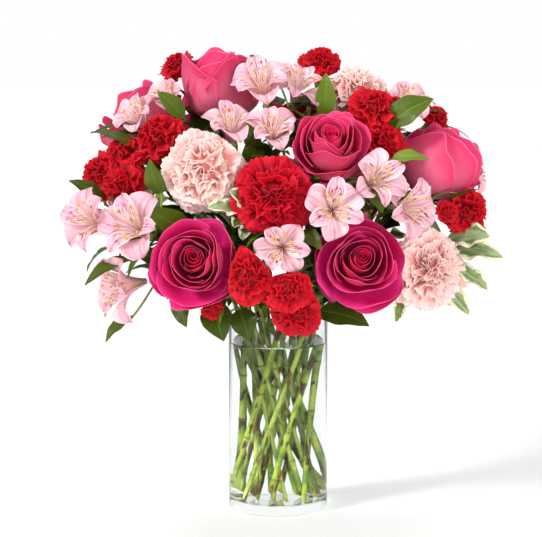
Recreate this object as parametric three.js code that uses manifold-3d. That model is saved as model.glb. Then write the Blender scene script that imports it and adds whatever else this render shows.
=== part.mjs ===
// A mixed bouquet of roses, carnations, spray carnations and Peruvian lilies in a glass cylinder vase.
// Millimetres, +Z up, the viewer at -Y. The origin is the middle of the vase's foot.
//
// Every stem is planted in the water, on one of three rings of leaning stems, each twisted the other
// way from the next, and bends from the vase's mouth to its flower heads. Heads press flat against
// their neighbours, stems part the petals that they pass, and leaves are trimmed where they would cut
// through a bloom.

import * as THREE from "three";
import { mergeVertices } from "three/addons/utils/BufferGeometryUtils.js";
import Module from "manifold-3d";

const wasm = await Module();
wasm.setup();

// ---------------------------------------------------------------- driving dimensions

const VASE = { radius: 50.8, height: 203, wall: 3.5, floor: 10, edge: 2.5, sides: 32 };
const WATER_LEVEL = 171;
const GAP = 0.35; // between any two pieces that touch
const BLADE = 1.0; // thickness of a petal or a leaf
const FINEST = 0.05; // smaller details, left where pieces join, are smoothed away

// Rings of stems in the vase. Each stem leans along a straight line that passes the ring's waist,
// from a foot on the ring to a mouth point on the ring.
const RINGS = {
  outer: { radius: 42, waist: 27, turn: 1 },
  middle: { radius: 31.5, waist: 17.5, turn: -1 },
  inner: { radius: 21, waist: 7.5, turn: 1 },
};
const FOOT_CLEARANCE = 3; // cut ends stand this far above the vase's floor, or higher

// Each kind of plant: radius of its stem and twigs, how deep its petals sit below the middle of the
// head, and the green cup under them. Depths and cups are shares of the head's radius.
const PLANTS = {
  rose: { stem: 2.9, twig: 2.0, depth: 0.8, cup: { top: 0.17, bottom: 0.1, length: 0.2 } },
  carnation: { stem: 2.3, twig: 1.5, depth: 0.6, cup: { top: 0.21, bottom: 0.12, length: 0.72 } },
  mini: { stem: 1.9, twig: 1.3, depth: 0.6, cup: { top: 0.24, bottom: 0.13, length: 0.7 } },
  lily: { stem: 2.2, twig: 1.4, depth: 0.7, cup: { top: 0.09, bottom: 0.06, length: 0.22 } },
  shrub: { stem: 1.9, twig: 1.3 },
};
const LEAFSTALK = 1.1; // radius

const COLOURS = {
  rose: "#d4145f",
  carnation: "#f3b9b6",
  red_carnation: "#cf0d1c",
  mini: "#d40f17",
  lily: "#eab3c2",
  stem: "#5f8a30",
  shrub: "#76905f",
  glass: "#e8eeee",
  water: "#dfeaea",
};

// ---------------------------------------------------------------- the planting

// A head: its node, its middle, the way that it faces (azimuth from the viewer, elevation), its
// radius and its turn about that facing.
const head = (node, at, facing, radius, turn = 0) => ({ node, at, facing, radius, turn });

// A leaf: where its blade starts and ends, the way that its face looks, and its greatest width.
const leaf = (base, tip, faces, width) => ({ base, tip, faces, width });

// Each stem: its ring, the azimuth at which it leaves the vase's mouth, and what it carries. A spray
// forks into one twig for each head. Azimuth 0 is towards the viewer, and 90 to the viewer's right.
const STEMS = [
  // Roses.
  {
    name: "rose_top", kind: "rose", form: "goblet", ring: "inner", azimuth: -85,
    heads: [head("rose_top_petals", [-59, -22, 434], [-165, 80], 46, 10)],
  },
  {
    name: "rose_left", kind: "rose", form: "goblet", ring: "outer", azimuth: -120,
    heads: [head("rose_left_petals", [-138, 30, 396], [-105, 45], 41, 40)],
  },
  {
    name: "rose_upper", kind: "rose", ring: "inner", azimuth: 76,
    heads: [head("rose_upper_petals", [49, -122, 379], [4, 38], 42, 20)],
  },
  {
    name: "rose_right", kind: "rose", form: "goblet", ring: "outer", azimuth: 85, raised: 14,
    heads: [head("rose_right_petals", [160, -40, 355], [100, 50], 47, 75)],
  },
  {
    name: "rose_lower_left", kind: "rose", ring: "outer", azimuth: -50,
    heads: [head("rose_lower_left_petals", [-81, -140, 270], [-8, 8], 47, 0)],
    leaves: [
      leaf([-62, -112, 226], [-52, -134, 194], [-20, 35], 30),
      leaf([-92, -104, 236], [-88, -118, 205], [-40, 10], 22),
      leaf([-38, -116, 222], [-28, -126, 194], [5, 20], 26),
    ],
  },
  {
    name: "rose_lower_right", kind: "rose", ring: "outer", azimuth: 5, raised: 22,
    heads: [head("rose_lower_right_petals", [76, -140, 269], [3, 12], 46, 30)],
    leaves: [
      leaf([38, -116, 220], [86, -130, 208], [5, 40], 32),
      leaf([38, -104, 218], [10, -126, 198], [0, 30], 26),
    ],
  },
  {
    name: "rose_back_left", kind: "rose", ring: "outer", azimuth: -160,
    heads: [head("rose_back_left_petals", [-85, 88, 368], [-145, 30], 43, 0)],
    leaves: [leaf([-96, 70, 296], [-128, 112, 262], [-140, 30], 34)],
  },
  {
    name: "rose_back_right", kind: "rose", ring: "outer", azimuth: 135,
    heads: [head("rose_back_right_petals", [72, 112, 325], [152, 14], 44, 50)],
    leaves: [
      leaf([48, 88, 258], [38, 134, 232], [175, 35], 32),
      leaf([92, 80, 258], [124, 112, 238], [130, 35], 30),
    ],
  },
  // Carnations.
  {
    name: "carnation_left", kind: "carnation", ring: "middle", azimuth: -64, raised: 9,
    heads: [head("carnation_left_petals", [-70, -105, 356], [-18, 22], 44)],
  },
  {
    name: "carnation_top", kind: "carnation", ring: "inner", azimuth: 125,
    heads: [head("carnation_top_petals", [78, -28, 425], [12, 62], 37)],
  },
  {
    name: "carnation_right", kind: "carnation", ring: "outer", azimuth: 48,
    heads: [head("carnation_right_petals", [144, -90, 258], [28, -2], 41)],
  },
  {
    name: "carnation_front", kind: "carnation", colour: "red_carnation", ring: "inner", azimuth: 25,
    heads: [head("carnation_front_petals", [-5, -138, 333], [-2, 12], 43)],
  },
  {
    name: "carnation_back", kind: "carnation", ring: "middle", azimuth: -150, raised: 16,
    heads: [head("carnation_back_petals", [-22, 118, 298], [-170, 8], 43)],
  },
  // Sprays of small carnations.
  {
    name: "spray_left", kind: "mini", ring: "middle", azimuth: -98, fork: [-78, -30, 312],
    heads: [
      head("spray_left_high_petals", [-101, 5, 452], [-50, 50], 18),
      head("spray_left_petals", [-117, -62, 384], [-30, 30], 28),
      head("spray_left_petals", [-151, -54, 368], [-45, 35], 24),
      head("spray_left_petals", [-175, -45, 346], [-60, 15], 25),
      head("spray_left_petals", [-150, -72, 337], [-42, 8], 24),
    ],
  },
  {
    name: "spray_right", kind: "mini", ring: "middle", azimuth: 66, fork: [84, -30, 312],
    heads: [
      head("spray_right_upper_petals", [92, -80, 413], [18, 42], 25),
      head("spray_right_upper_petals", [117, -66, 414], [40, 40], 13),
      head("spray_right_upper_petals", [101, -88, 380], [25, 20], 24),
      head("spray_right_petals", [183, -70, 311], [45, 6], 27),
      head("spray_right_petals", [162, -94, 314], [20, 0], 11),
      head("spray_right_back_petals", [160, 12, 398], [80, 40], 18),
    ],
  },
  {
    name: "spray_front", kind: "mini", ring: "middle", azimuth: -32, fork: [-6, -84, 244],
    heads: [
      head("spray_front_petals", [-28, -162, 261], [-6, 2], 27),
      head("spray_front_petals", [9, -164, 250], [4, 14], 22.5),
      head("spray_front_petals", [17, -152, 223], [6, -18], 23.5),
      head("spray_front_bud_petals", [-63, -136, 226], [-15, 0], 11),
    ],
  },
  {
    name: "spray_back", kind: "mini", ring: "middle", azimuth: 160, fork: [14, 30, 330], raised: 6,
    heads: [
      head("spray_back_high_petals", [42, -8, 455], [15, 60], 21),
      head("spray_back_petals", [30, 82, 398], [165, 40], 27),
      head("spray_top_petals", [-1, -60, 408], [0, 60], 17),
    ],
  },
  // Sprays of Peruvian lilies.
  {
    name: "lily_left", kind: "lily", ring: "outer", azimuth: -82, fork: [-80, -60, 270],
    heads: [
      head("lily_left_petals", [-135, -120, 300], [-28, 22], 39, 30),
      head("lily_left_petals", [-178, -94, 304], [-40, 14], 36, 80),
      head("lily_low_left_petals", [-150, -92, 241], [-62, -8], 40, 30),
      head("lily_high_left_petals", [-138, -46, 402], [-40, 45], 28, 30),
      head("lily_high_left_petals", [-109, -37, 419], [-35, 55], 26, 30),
      head("lily_back_left_petals", [-150, 48, 322], [-108, 8], 36, 0),
    ],
    leaves: [
      leaf([-138, -62, 372], [-185, -52, 388], [-20, 60], 17),
      leaf([-92, -62, 402], [-118, -64, 428], [-30, 45], 17),
      leaf([-112, -104, 332], [-122, -116, 366], [-20, 20], 20),
      leaf([-140, -90, 268], [-186, -108, 244], [-30, 50], 15),
      leaf([-142, -80, 210], [-168, -92, 186], [-40, 30], 18),
      leaf([-172, -62, 322], [-204, -72, 342], [-40, 40], 17),
      leaf([-150, 62, 372], [-186, 84, 392], [-120, 50], 16),
      leaf([-168, 20, 268], [-198, 30, 240], [-90, 30], 18),
    ],
  },
  {
    name: "lily_front", kind: "lily", ring: "inner", azimuth: -30, fork: [-8, -52, 316],
    heads: [
      head("lily_top_petals", [-16, -74, 433], [-14, 48], 34, 20),
      head("lily_top_petals", [18, -59, 432], [22, 50], 30, 30),
      head("lily_upper_petals", [-45, -95, 395], [-10, 52], 31, 20),
      head("lily_upper_petals", [-6, -107, 391], [6, 42], 30, 10),
      head("lily_middle_petals", [50, -160, 322], [4, 12], 34, 0),
      head("lily_low_petals", [3, -156, 286], [0, 6], 32, 30),
    ],
    leaves: [
      leaf([44, -66, 402], [46, -66, 446], [5, 15], 19),
      leaf([22, -140, 300], [40, -158, 284], [10, 20], 15),
      leaf([-4, 20, 440], [-30, 44, 462], [-150, 60], 16),
    ],
  },
  {
    name: "lily_right", kind: "lily", ring: "middle", azimuth: 28, fork: [92, -62, 286],
    heads: [
      head("lily_right_petals", [90, -138, 347], [22, 22], 33, 60),
      head("lily_right_petals", [121, -121, 321], [38, 4], 34, 110),
      head("lily_high_right_petals", [128, -42, 416], [30, 52], 28, 0),
      head("lily_far_right_petals", [193, -8, 350], [80, 12], 28, 0),
    ],
    leaves: [
      leaf([104, -84, 394], [148, -92, 422], [15, 40], 27),
      leaf([106, -128, 366], [142, -128, 366], [15, 45], 17),
      leaf([84, -146, 338], [96, -160, 318], [20, 20], 14),
    ],
  },
  {
    name: "lily_back", kind: "lily", ring: "middle", azimuth: 108, fork: [60, 50, 300], raised: 10,
    heads: [
      head("lily_back_right_petals", [142, 66, 340], [115, 14], 36, 0),
      head("lily_back_top_petals", [-14, 42, 434], [-175, 62], 35, 30),
    ],
    leaves: [
      leaf([86, 66, 384], [112, 96, 420], [140, 45], 18),
      leaf([-30, 96, 362], [-14, 122, 398], [180, 30], 20),
      leaf([140, 80, 292], [176, 104, 268], [125, 40], 17),
      leaf([-60, 90, 258], [-84, 130, 232], [-150, 30], 18),
    ],
  },
  // A branch of variegated shrub.
  {
    name: "shrub", kind: "shrub", ring: "middle", azimuth: -2, fork: [14, -34, 256],
    twigs: [[158, -72, 272], [-30, -122, 312]],
    leaves: [
      leaf([164, -72, 284], [205, -84, 289], [25, 30], 21),
      leaf([168, -74, 272], [218, -86, 268], [25, 35], 22),
      leaf([166, -72, 260], [204, -80, 236], [30, 20], 15),
      leaf([152, -72, 246], [186, -84, 212], [20, 10], 15),
      leaf([120, -76, 232], [114, -92, 206], [10, 10], 12),
      leaf([-38, -128, 316], [-66, -148, 322], [-10, 35], 21),
      leaf([-30, -130, 322], [-46, -150, 338], [-5, 30], 19),
    ],
  },
];

// ---------------------------------------------------------------- solids

// A closed three.js geometry as a solid that can be joined and cut.
function solid(geometry) {
  const bare = geometry.index ? geometry.toNonIndexed() : geometry.clone();
  for (const name of Object.keys(bare.attributes)) {
    if (name !== "position") bare.deleteAttribute(name);
  }
  const merged = mergeVertices(bare, 1e-4);
  const corners = [];
  for (let i = 0; i < merged.index.count; i += 3) {
    const [a, b, c] = merged.index.array.subarray(i, i + 3);
    if (a !== b && b !== c && a !== c) corners.push(a, b, c);
  }
  const make = (list) =>
    new wasm.Manifold(
      new wasm.Mesh({
        numProp: 3,
        vertProperties: new Float32Array(merged.attributes.position.array),
        triVerts: new Uint32Array(list),
      }),
    );
  const made = make(corners);
  return made.volume() < 0 ? make(corners.reverse()) : made;
}

// A solid's triangles as a three.js geometry.
function geometryOf(made) {
  const { numProp, vertProperties, triVerts } = made.getMesh();
  const geometry = new THREE.BufferGeometry();
  geometry.setAttribute("position", new THREE.BufferAttribute(vertProperties, numProp));
  geometry.setIndex(new THREE.BufferAttribute(triVerts, 1));
  return geometry;
}

const joined = (solids) => wasm.Manifold.union(solids);

// The largest body of a solid: what a cut has left loose is dropped.
function largestBody(made) {
  return made.decompose().reduce((most, body) => (body.volume() > most.volume() ? body : most));
}

function boxesMeet(a, b) {
  const [p, q] = [a.boundingBox(), b.boundingBox()];
  return [0, 1, 2].every((k) => p.min[k] <= q.max[k] && q.min[k] <= p.max[k]);
}

// Cuts from a solid the box round what it shares with another, and the gap round that.
function cutAway(made, obstacle) {
  if (!boxesMeet(made, obstacle)) return made;
  const shared = made.intersect(obstacle);
  if (shared.isEmpty()) return made;
  const { min, max } = shared.boundingBox();
  const box = new THREE.Box3(vector(min), vector(max)).expandByScalar(GAP);
  const size = box.getSize(new THREE.Vector3());
  const centre = box.getCenter(new THREE.Vector3());
  return made.subtract(solid(new THREE.BoxGeometry(...size).translate(...centre)));
}

// A solid of revolution round Z, from its outline as [radius, height] pairs.
function lathe(outline, sides) {
  const points = outline.map(([r, z]) => new THREE.Vector2(r, z));
  return new THREE.LatheGeometry(points, sides).rotateX(Math.PI / 2);
}

// ---------------------------------------------------------------- blades

// A closed blade round a grid of points, grid[row][column], with the same diagonals on both faces.
// The first and the last row may shrink to a point.
function bladeGeometry(grid) {
  const rows = grid.length;
  const columns = grid[0].length;
  const middle = Math.floor(columns / 2);
  const isPoint = (r) => grid[r][0].distanceTo(grid[r][columns - 1]) < 1e-6;
  const normalAt = (r, c) => {
    const [below, above] = [Math.max(r - 1, 0), Math.min(r + 1, rows - 1)];
    if (isPoint(r)) {
      const wide = r === 0 ? above : below;
      const across = grid[wide][columns - 1].clone().sub(grid[wide][0]);
      return across.cross(grid[above][middle].clone().sub(grid[below][middle])).normalize();
    }
    const [left, right] = [Math.max(c - 1, 0), Math.min(c + 1, columns - 1)];
    const across = grid[r][right].clone().sub(grid[r][left]);
    return across.cross(grid[above][c].clone().sub(grid[below][c])).normalize();
  };
  const face = (side) =>
    grid.map((row, r) => row.map((p, c) => p.clone().addScaledVector(normalAt(r, c), (side * BLADE) / 2)));
  const [front, back] = [face(1), face(-1)];
  const corners = [];
  const quad = (a, b, c, d) => corners.push(a, b, c, a, c, d);
  for (let r = 0; r + 1 < rows; r++) {
    for (let c = 0; c + 1 < columns; c++) {
      quad(front[r][c], front[r][c + 1], front[r + 1][c + 1], front[r + 1][c]);
      corners.push(back[r][c], back[r + 1][c + 1], back[r][c + 1]);
      corners.push(back[r][c], back[r + 1][c], back[r + 1][c + 1]);
    }
    quad(front[r][columns - 1], back[r][columns - 1], back[r + 1][columns - 1], front[r + 1][columns - 1]);
    quad(front[r + 1][0], back[r + 1][0], back[r][0], front[r][0]);
  }
  for (let c = 0; c + 1 < columns; c++) {
    quad(front[0][c + 1], front[0][c], back[0][c], back[0][c + 1]);
    quad(front[rows - 1][c], front[rows - 1][c + 1], back[rows - 1][c + 1], back[rows - 1][c]);
  }
  return new THREE.BufferGeometry().setFromPoints(corners);
}

// The blade of surface(u, v), with u from -1 to 1 across and v from 0 at the root to 1 at the tip.
function blade(surface, columns, rows) {
  const across = Array.from({ length: columns + 1 }, (_, c) => (2 * c) / columns - 1);
  return solid(bladeGeometry(rows.map((v) => across.map((u) => surface(u, v)))));
}

const bend = (a, b, c, t) => a * (1 - t) ** 2 + 2 * b * t * (1 - t) + c * t ** 2;

// ---------------------------------------------------------------- directions and heads

const radians = THREE.MathUtils.degToRad;
const vector = (xyz) => new THREE.Vector3(...xyz);

function direction([azimuth, elevation]) {
  const [a, e] = [radians(azimuth), radians(elevation)];
  return new THREE.Vector3(Math.sin(a) * Math.cos(e), -Math.cos(a) * Math.cos(e), Math.sin(e));
}

// The rotation that takes +Z to a head's facing, keeps X level and adds the head's own turn.
function headRotation(facing, turn) {
  const z = direction(facing);
  const x = new THREE.Vector3(0, 0, 1).cross(z).normalize();
  const level = new THREE.Matrix4().makeBasis(x, z.clone().cross(x), z);
  const spin = new THREE.Quaternion().setFromAxisAngle(new THREE.Vector3(0, 0, 1), radians(turn));
  return new THREE.Quaternion().setFromRotationMatrix(level).multiply(spin);
}

const HEADS = STEMS.flatMap((stem) =>
  (stem.heads ?? []).map((bloom, order) => ({
    ...bloom,
    stem,
    seed: order + 7 * STEMS.indexOf(stem) + 1,
    centre: vector(bloom.at),
    axis: direction(bloom.facing),
    rotation: headRotation(bloom.facing, bloom.turn),
  })),
);

// Petals flatten against the plane between a head and each neighbour.
const PRESS_FROM = 0.6; // share of the way to that plane at which they start to give
const PRESS_GAP = 0.9; // kept clear on each side of the plane, half a blade included

for (const bloom of HEADS) {
  bloom.walls = HEADS.filter((other) => other.node !== bloom.node).map((other) => {
    const normal = other.centre.clone().sub(bloom.centre);
    const distance = normal.length();
    const share = (distance ** 2 + bloom.radius ** 2 - other.radius ** 2) / (2 * distance);
    return { normal: normal.normalize(), reach: share - PRESS_GAP };
  });
}

// Takes a point in a head's own frame, in shares of its radius, to its place in the bouquet.
function place(bloom, point) {
  const offset = point.clone().multiplyScalar(bloom.radius).applyQuaternion(bloom.rotation);
  const distance = offset.length();
  let room = Infinity;
  for (const wall of bloom.walls) {
    const towards = offset.dot(wall.normal) / (distance || 1);
    if (towards > 1e-6) room = Math.min(room, wall.reach / towards);
  }
  const share = distance / room;
  if (share > PRESS_FROM) {
    const rest = 1 - PRESS_FROM;
    const eased = PRESS_FROM + rest * (1 - Math.exp((PRESS_FROM - share) / rest));
    offset.multiplyScalar(eased / share);
  }
  return offset.add(bloom.centre);
}

function placedSolid(bloom, geometry) {
  const position = geometry.getAttribute("position");
  for (let i = 0; i < position.count; i++) {
    const point = place(bloom, new THREE.Vector3().fromBufferAttribute(position, i));
    position.setXYZ(i, point.x, point.y, point.z);
  }
  return solid(geometry);
}

function petal(bloom, surface, columns, rows) {
  return blade((u, v) => place(bloom, surface(u, v)), columns, rows);
}

// A repeatable draw from 0 to 1.
function seeded(seed) {
  let state = seed;
  return () => {
    state = (state * 1664525 + 1013904223) % 4294967296;
    return state / 4294967296;
  };
}

// ---------------------------------------------------------------- rose

// Rings of petals from the heart outwards, of a rose that has opened and of one that is still a
// goblet. Each petal's middle line bends from foot over waist to lip, as [radius, height], and the
// petal spreads to both sides of it.
const ROSE_FORMS = {
  open: [
    { petals: 3, foot: [0.1, -0.38], waist: [0.7, -0.1], lip: [0.62, 0.46], spread: 66, phase: 35 },
    { petals: 5, foot: [0.07, -0.64], waist: [0.9, -0.44], lip: [1.0, 0.14], spread: 42, phase: 10 },
  ],
  goblet: [
    { petals: 3, foot: [0.1, -0.38], waist: [0.75, 0], lip: [0.5, 0.66], spread: 66, phase: 35 },
    { petals: 5, foot: [0.07, -0.64], waist: [1.1, -0.46], lip: [1.0, 0.64], spread: 44, phase: 10 },
  ],
};
const ROSE_BUD = [[0, -0.8], [0.4, -0.1], [0.32, 0.48], [0, 0.3]];
const ROSE_TIP = 0.08; // how far the middle of a lip stands out

function roseSolid(bloom) {
  const rings = ROSE_FORMS[bloom.stem.form ?? "open"];
  const petals = rings.flatMap(({ petals: count, foot, waist, lip, spread, phase }) =>
    Array.from({ length: count }, (_, k) => {
      const middle = radians(phase + (360 * k) / count);
      const surface = (u, v) => {
        const angle = middle + u * radians(spread) * bend(0, 1.1, 1, v);
        const length = 1 + ROSE_TIP * v * v * (1 - u * u) + 0.05 * u * v;
        const radius = bend(foot[0], waist[0], lip[0], v) * length;
        const height = bend(foot[1], waist[1], lip[1], v);
        return new THREE.Vector3(radius * Math.cos(angle), radius * Math.sin(angle), height);
      };
      return petal(bloom, surface, 2, [0, 0.5, 1]);
    }),
  );
  return joined([placedSolid(bloom, lathe(ROSE_BUD, 6)), ...petals]);
}

// ---------------------------------------------------------------- carnation

// The crumpled dome of a carnation: a ball whose surface is raised in ruffles by a formula.
// Lobe raises every second point of a ring and sinks the others, and ruffle is left to chance.
function ruffledBall(columns, rows, lobe, ruffle, draw) {
  const lowest = 2.25; // polar angle of the last ring, in radians
  const rings = Array.from({ length: rows }, (_, r) => {
    const polar = (lowest * (r + 1)) / rows;
    return Array.from({ length: columns }, (_, c) => {
      const around = ((c + 0.5 * (r % 2)) * 2 * Math.PI) / columns;
      const dome = 0.72 + 0.2 * Math.sin(polar) ** 2 - 0.18 * Math.max(0, polar - 1.6);
      const relief = (c % 2 ? lobe : -lobe) + ruffle * (2 * draw() - 1);
      const raised = dome * (1 + relief * Math.sin(polar + 0.3));
      return new THREE.Vector3().setFromSphericalCoords(raised, polar, around);
    });
  });
  const [top, bottom] = [new THREE.Vector3(0, 0.7, 0), new THREE.Vector3(0, -0.6, 0)];
  const corners = [];
  for (let c = 0; c < columns; c++) {
    const next = (c + 1) % columns;
    corners.push(top, rings[0][c], rings[0][next]);
    corners.push(bottom, rings[rows - 1][next], rings[rows - 1][c]);
    for (let r = 0; r + 1 < rows; r++) {
      const [upper, lower] = [rings[r], rings[r + 1]];
      corners.push(upper[c], lower[c], r % 2 ? lower[next] : upper[next]);
      corners.push(r % 2 ? upper[c] : lower[c], lower[next], upper[next]);
    }
  }
  return new THREE.BufferGeometry().setFromPoints(corners).rotateX(Math.PI / 2);
}

// Outer petals of a carnation, side by side, as fans with a toothed edge.
function skirt(bloom, count, facets, draw) {
  return Array.from({ length: count }, draw).map((chance, k) => {
    const middle = (2 * Math.PI * k) / count;
    const surface = (u, v) => {
      const tooth = 0.06 * v * Math.cos((u + 1) * 0.5 * facets * Math.PI);
      const angle = middle + (u * v * 0.86 * Math.PI) / count;
      const radius = 0.45 + 0.53 * v + tooth;
      const height = -0.2 + v * (0.06 + 0.2 * chance) - tooth;
      return new THREE.Vector3(radius * Math.cos(angle), radius * Math.sin(angle), height);
    };
    return petal(bloom, surface, facets, [0, 1]);
  });
}

function carnationSolid(bloom) {
  const draw = seeded(bloom.seed);
  const ball = placedSolid(bloom, ruffledBall(12, 6, 0, 0.16, draw));
  return joined([ball, ...skirt(bloom, 6, 3, draw)]);
}

// A spray carnation's petals are lobes raised from its dome.
function miniSolid(bloom) {
  return placedSolid(bloom, ruffledBall(10, 5, 0.17, 0.07, seeded(bloom.seed)));
}

// ---------------------------------------------------------------- Peruvian lily

// Two whorls of three petals on a short tube, the outer ones broad.
const LILY_WHORLS = [
  { waist: [0.3, 0.05], lip: [0.98, 0.24], width: 0.42, phase: 30, rows: [0, 0.62, 1] },
  { waist: [0.22, 0.3], lip: [0.86, 0.44], width: 0.28, phase: 90, rows: [0, 0.55, 1] },
];
const LILY_TUBE = [[0, -0.7], [0.19, -0.16], [0, -0.2]];

function lilySolid(bloom) {
  const petals = LILY_WHORLS.flatMap(({ waist, lip, width, phase, rows }) =>
    [0, 1, 2].map((k) => {
      const angle = radians(phase + 120 * k);
      const surface = (u, v) => {
        const along = bend(0.06, waist[0], lip[0], v);
        const across = u * width * bend(0, 1.9, 0, v);
        const height = bend(-0.42, waist[1], lip[1], v) + 0.12 * Math.abs(u) * v * (1 - v);
        return new THREE.Vector3(along, across, height).applyAxisAngle(new THREE.Vector3(0, 0, 1), angle);
      };
      return petal(bloom, surface, 2, rows);
    }),
  );
  return joined([placedSolid(bloom, lathe(LILY_TUBE, 4)), ...petals]);
}

const HEAD_SOLIDS = { rose: roseSolid, carnation: carnationSolid, mini: miniSolid, lily: lilySolid };

// ---------------------------------------------------------------- the routes of stems and twigs

const SINK = 5; // how deep a twig or a blade is rooted in what carries it

// A run is a row of points with a radius at each, and the head at its end, if it has one.
// Points in a vase, at a fork or under a head are held, and the others may be nudged.
const held = new Set();

function bendPoints(from, heading, to, arrival, count) {
  const span = from.distanceTo(to);
  const leaving = from.clone().addScaledVector(heading, span * 0.4);
  const arriving = to.clone().addScaledVector(arrival, -span * 0.35);
  return new THREE.CubicBezierCurve3(from, leaving, arriving, to).getPoints(count);
}

// The straight stretch of a stem in the vase: its foot, its mouth point and its heading.
function plantedLine(stem) {
  const { radius, waist, turn } = RINGS[stem.ring];
  const azimuth = radians(stem.azimuth);
  const onRing = (angle, z) => new THREE.Vector3(radius * Math.sin(angle), -radius * Math.cos(angle), z);
  const foot = onRing(azimuth - turn * 2 * Math.acos(waist / radius), VASE.floor);
  const mouth = onRing(azimuth, VASE.height);
  const heading = mouth.clone().sub(foot).normalize();
  foot.addScaledVector(heading, (FOOT_CLEARANCE + (stem.raised ?? 0)) / heading.z);
  return { foot, mouth, heading };
}

// The points of the cup under a head, from its narrow end up, with their radii.
function cupPoints(bloom) {
  const { depth, cup } = PLANTS[bloom.stem.kind];
  const seat = place(bloom, new THREE.Vector3(0, 0, -depth));
  const below = (distance) => seat.clone().addScaledVector(bloom.axis, -distance);
  const length = cup.length * bloom.radius;
  return {
    points: [below(GAP + length * 0.8), below(GAP)],
    radii: [cup.bottom * bloom.radius, cup.top * bloom.radius],
    end: below(GAP + length),
  };
}

function addRun(stem, points, radius, sides, bloom) {
  const run = { stem, points: [...points], radii: points.map(() => radius), sides, bloom };
  if (bloom) {
    const cup = cupPoints(bloom);
    run.points.push(...cup.points);
    run.radii.push(...cup.radii);
    cup.points.forEach((point) => held.add(point));
  }
  [points[0], points.at(-1)].forEach((point) => held.add(point));
  stem.runs.push(run);
}

for (const stem of STEMS) {
  const plant = PLANTS[stem.kind];
  const { foot, mouth, heading } = plantedLine(stem);
  const blooms = HEADS.filter((bloom) => bloom.stem === stem);
  stem.runs = [];
  held.add(mouth);
  if (stem.fork) {
    const fork = vector(stem.fork);
    const rise = fork.clone().sub(mouth).normalize();
    const root = fork.clone().addScaledVector(rise, -SINK);
    addRun(stem, [foot, mouth, ...bendPoints(mouth, heading, fork, rise, 3).slice(1)], plant.stem, 5);
    for (const bloom of blooms) {
      addRun(stem, bendPoints(root, rise, cupPoints(bloom).end, bloom.axis, 2), plant.twig, 4, bloom);
    }
    for (const end of (stem.twigs ?? []).map(vector)) {
      addRun(stem, bendPoints(root, rise, end, end.clone().sub(root).normalize(), 4), plant.twig, 4);
    }
  } else {
    const bends = bendPoints(mouth, heading, cupPoints(blooms[0]).end, blooms[0].axis, 4);
    addRun(stem, [foot, mouth, ...bends.slice(1)], plant.stem, 5, blooms[0]);
  }
  // Each leafstalk grows from the nearest bend of its own stem or twigs.
  const bends = stem.runs.flatMap((run) => run.points.filter((p) => p.z > VASE.height && !held.has(p)));
  for (const plan of stem.leaves ?? []) {
    const base = vector(plan.base);
    const from = bends.reduce((near, p) => (p.distanceTo(base) < near.distanceTo(base) ? p : near));
    const inwards = vector(plan.tip).sub(base).normalize();
    const end = base.clone().addScaledVector(inwards, SINK);
    const run = { stem, points: [from, base, end], radii: Array(3).fill(LEAFSTALK), sides: 3 };
    held.add(base).add(end);
    stem.runs.push(run);
  }
}
const RUNS = STEMS.flatMap((stem) => stem.runs);

// Nudges stems, twigs and stalks apart where those of different plants would cross, and clear of
// the hearts of the heads that they pass.
const STEM_ROOM = 1.2; // between two stems
const HEART = 0.6; // share of a head's radius
const NUDGES = 90;
const STEM_YIELD = 0.6; // share of what is lacking that one nudge makes up, for each of two stems
const HEART_YIELD = 0.4;

const SPANS = RUNS.flatMap((run) =>
  run.points.slice(1).map((to, i) => {
    return { run, from: run.points[i], to, radii: run.radii.slice(i, i + 2) };
  }),
);

function shareAlong(span, point) {
  return Math.min(1, span.from.distanceTo(point) / span.from.distanceTo(span.to));
}

function push(span, share, shift) {
  const weights = [held.has(span.from) ? 0 : 1 - share, held.has(span.to) ? 0 : share];
  span.from.addScaledVector(shift, weights[0]);
  span.to.addScaledVector(shift, weights[1]);
}

function nudge() {
  const [lineA, lineB] = [new THREE.Line3(), new THREE.Line3()];
  const [onA, onB] = [new THREE.Vector3(), new THREE.Vector3()];
  SPANS.forEach((a, order) => {
    for (const b of SPANS.slice(order + 1)) {
      if (a.run.stem === b.run.stem) continue;
      lineA.set(a.from, a.to).distanceSqToLine3(lineB.set(b.from, b.to), onA, onB);
      const [shareA, shareB] = [shareAlong(a, onA), shareAlong(b, onB)];
      const radiusA = THREE.MathUtils.lerp(...a.radii, shareA);
      const radiusB = THREE.MathUtils.lerp(...b.radii, shareB);
      const away = onA.clone().sub(onB);
      const lack = radiusA + radiusB + STEM_ROOM - away.length();
      if (lack <= 0) continue;
      away.setLength(lack * STEM_YIELD);
      push(a, shareA, away);
      push(b, shareB, away.negate());
    }
    for (const bloom of HEADS) {
      if (a.run.bloom === bloom) continue;
      lineA.set(a.from, a.to).closestPointToPoint(bloom.centre, true, onA);
      const away = onA.clone().sub(bloom.centre);
      const lack = HEART * bloom.radius + a.radii[0] - away.length();
      if (lack > 0) push(a, shareAlong(a, onA), away.setLength(lack * HEART_YIELD));
    }
  });
}
for (let i = 0; i < NUDGES; i++) nudge();

// ---------------------------------------------------------------- tubes along the routes

// A path with one ring of its tube at each of the given points, square to the bend there.
class PointPath extends THREE.Curve {
  constructor(points) {
    super();
    this.points = points;
  }
  getPointAt(u) {
    return this.points[Math.round(u * (this.points.length - 1))].clone();
  }
  getTangentAt(u) {
    const i = Math.round(u * (this.points.length - 1));
    const steps = [[i - 1, i], [i, i + 1]].filter(([a, b]) => this.points[a] && this.points[b]);
    const headings = steps.map(([a, b]) => this.points[b].clone().sub(this.points[a]).normalize());
    return headings.reduce((sum, heading) => sum.add(heading)).normalize();
  }
}

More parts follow.
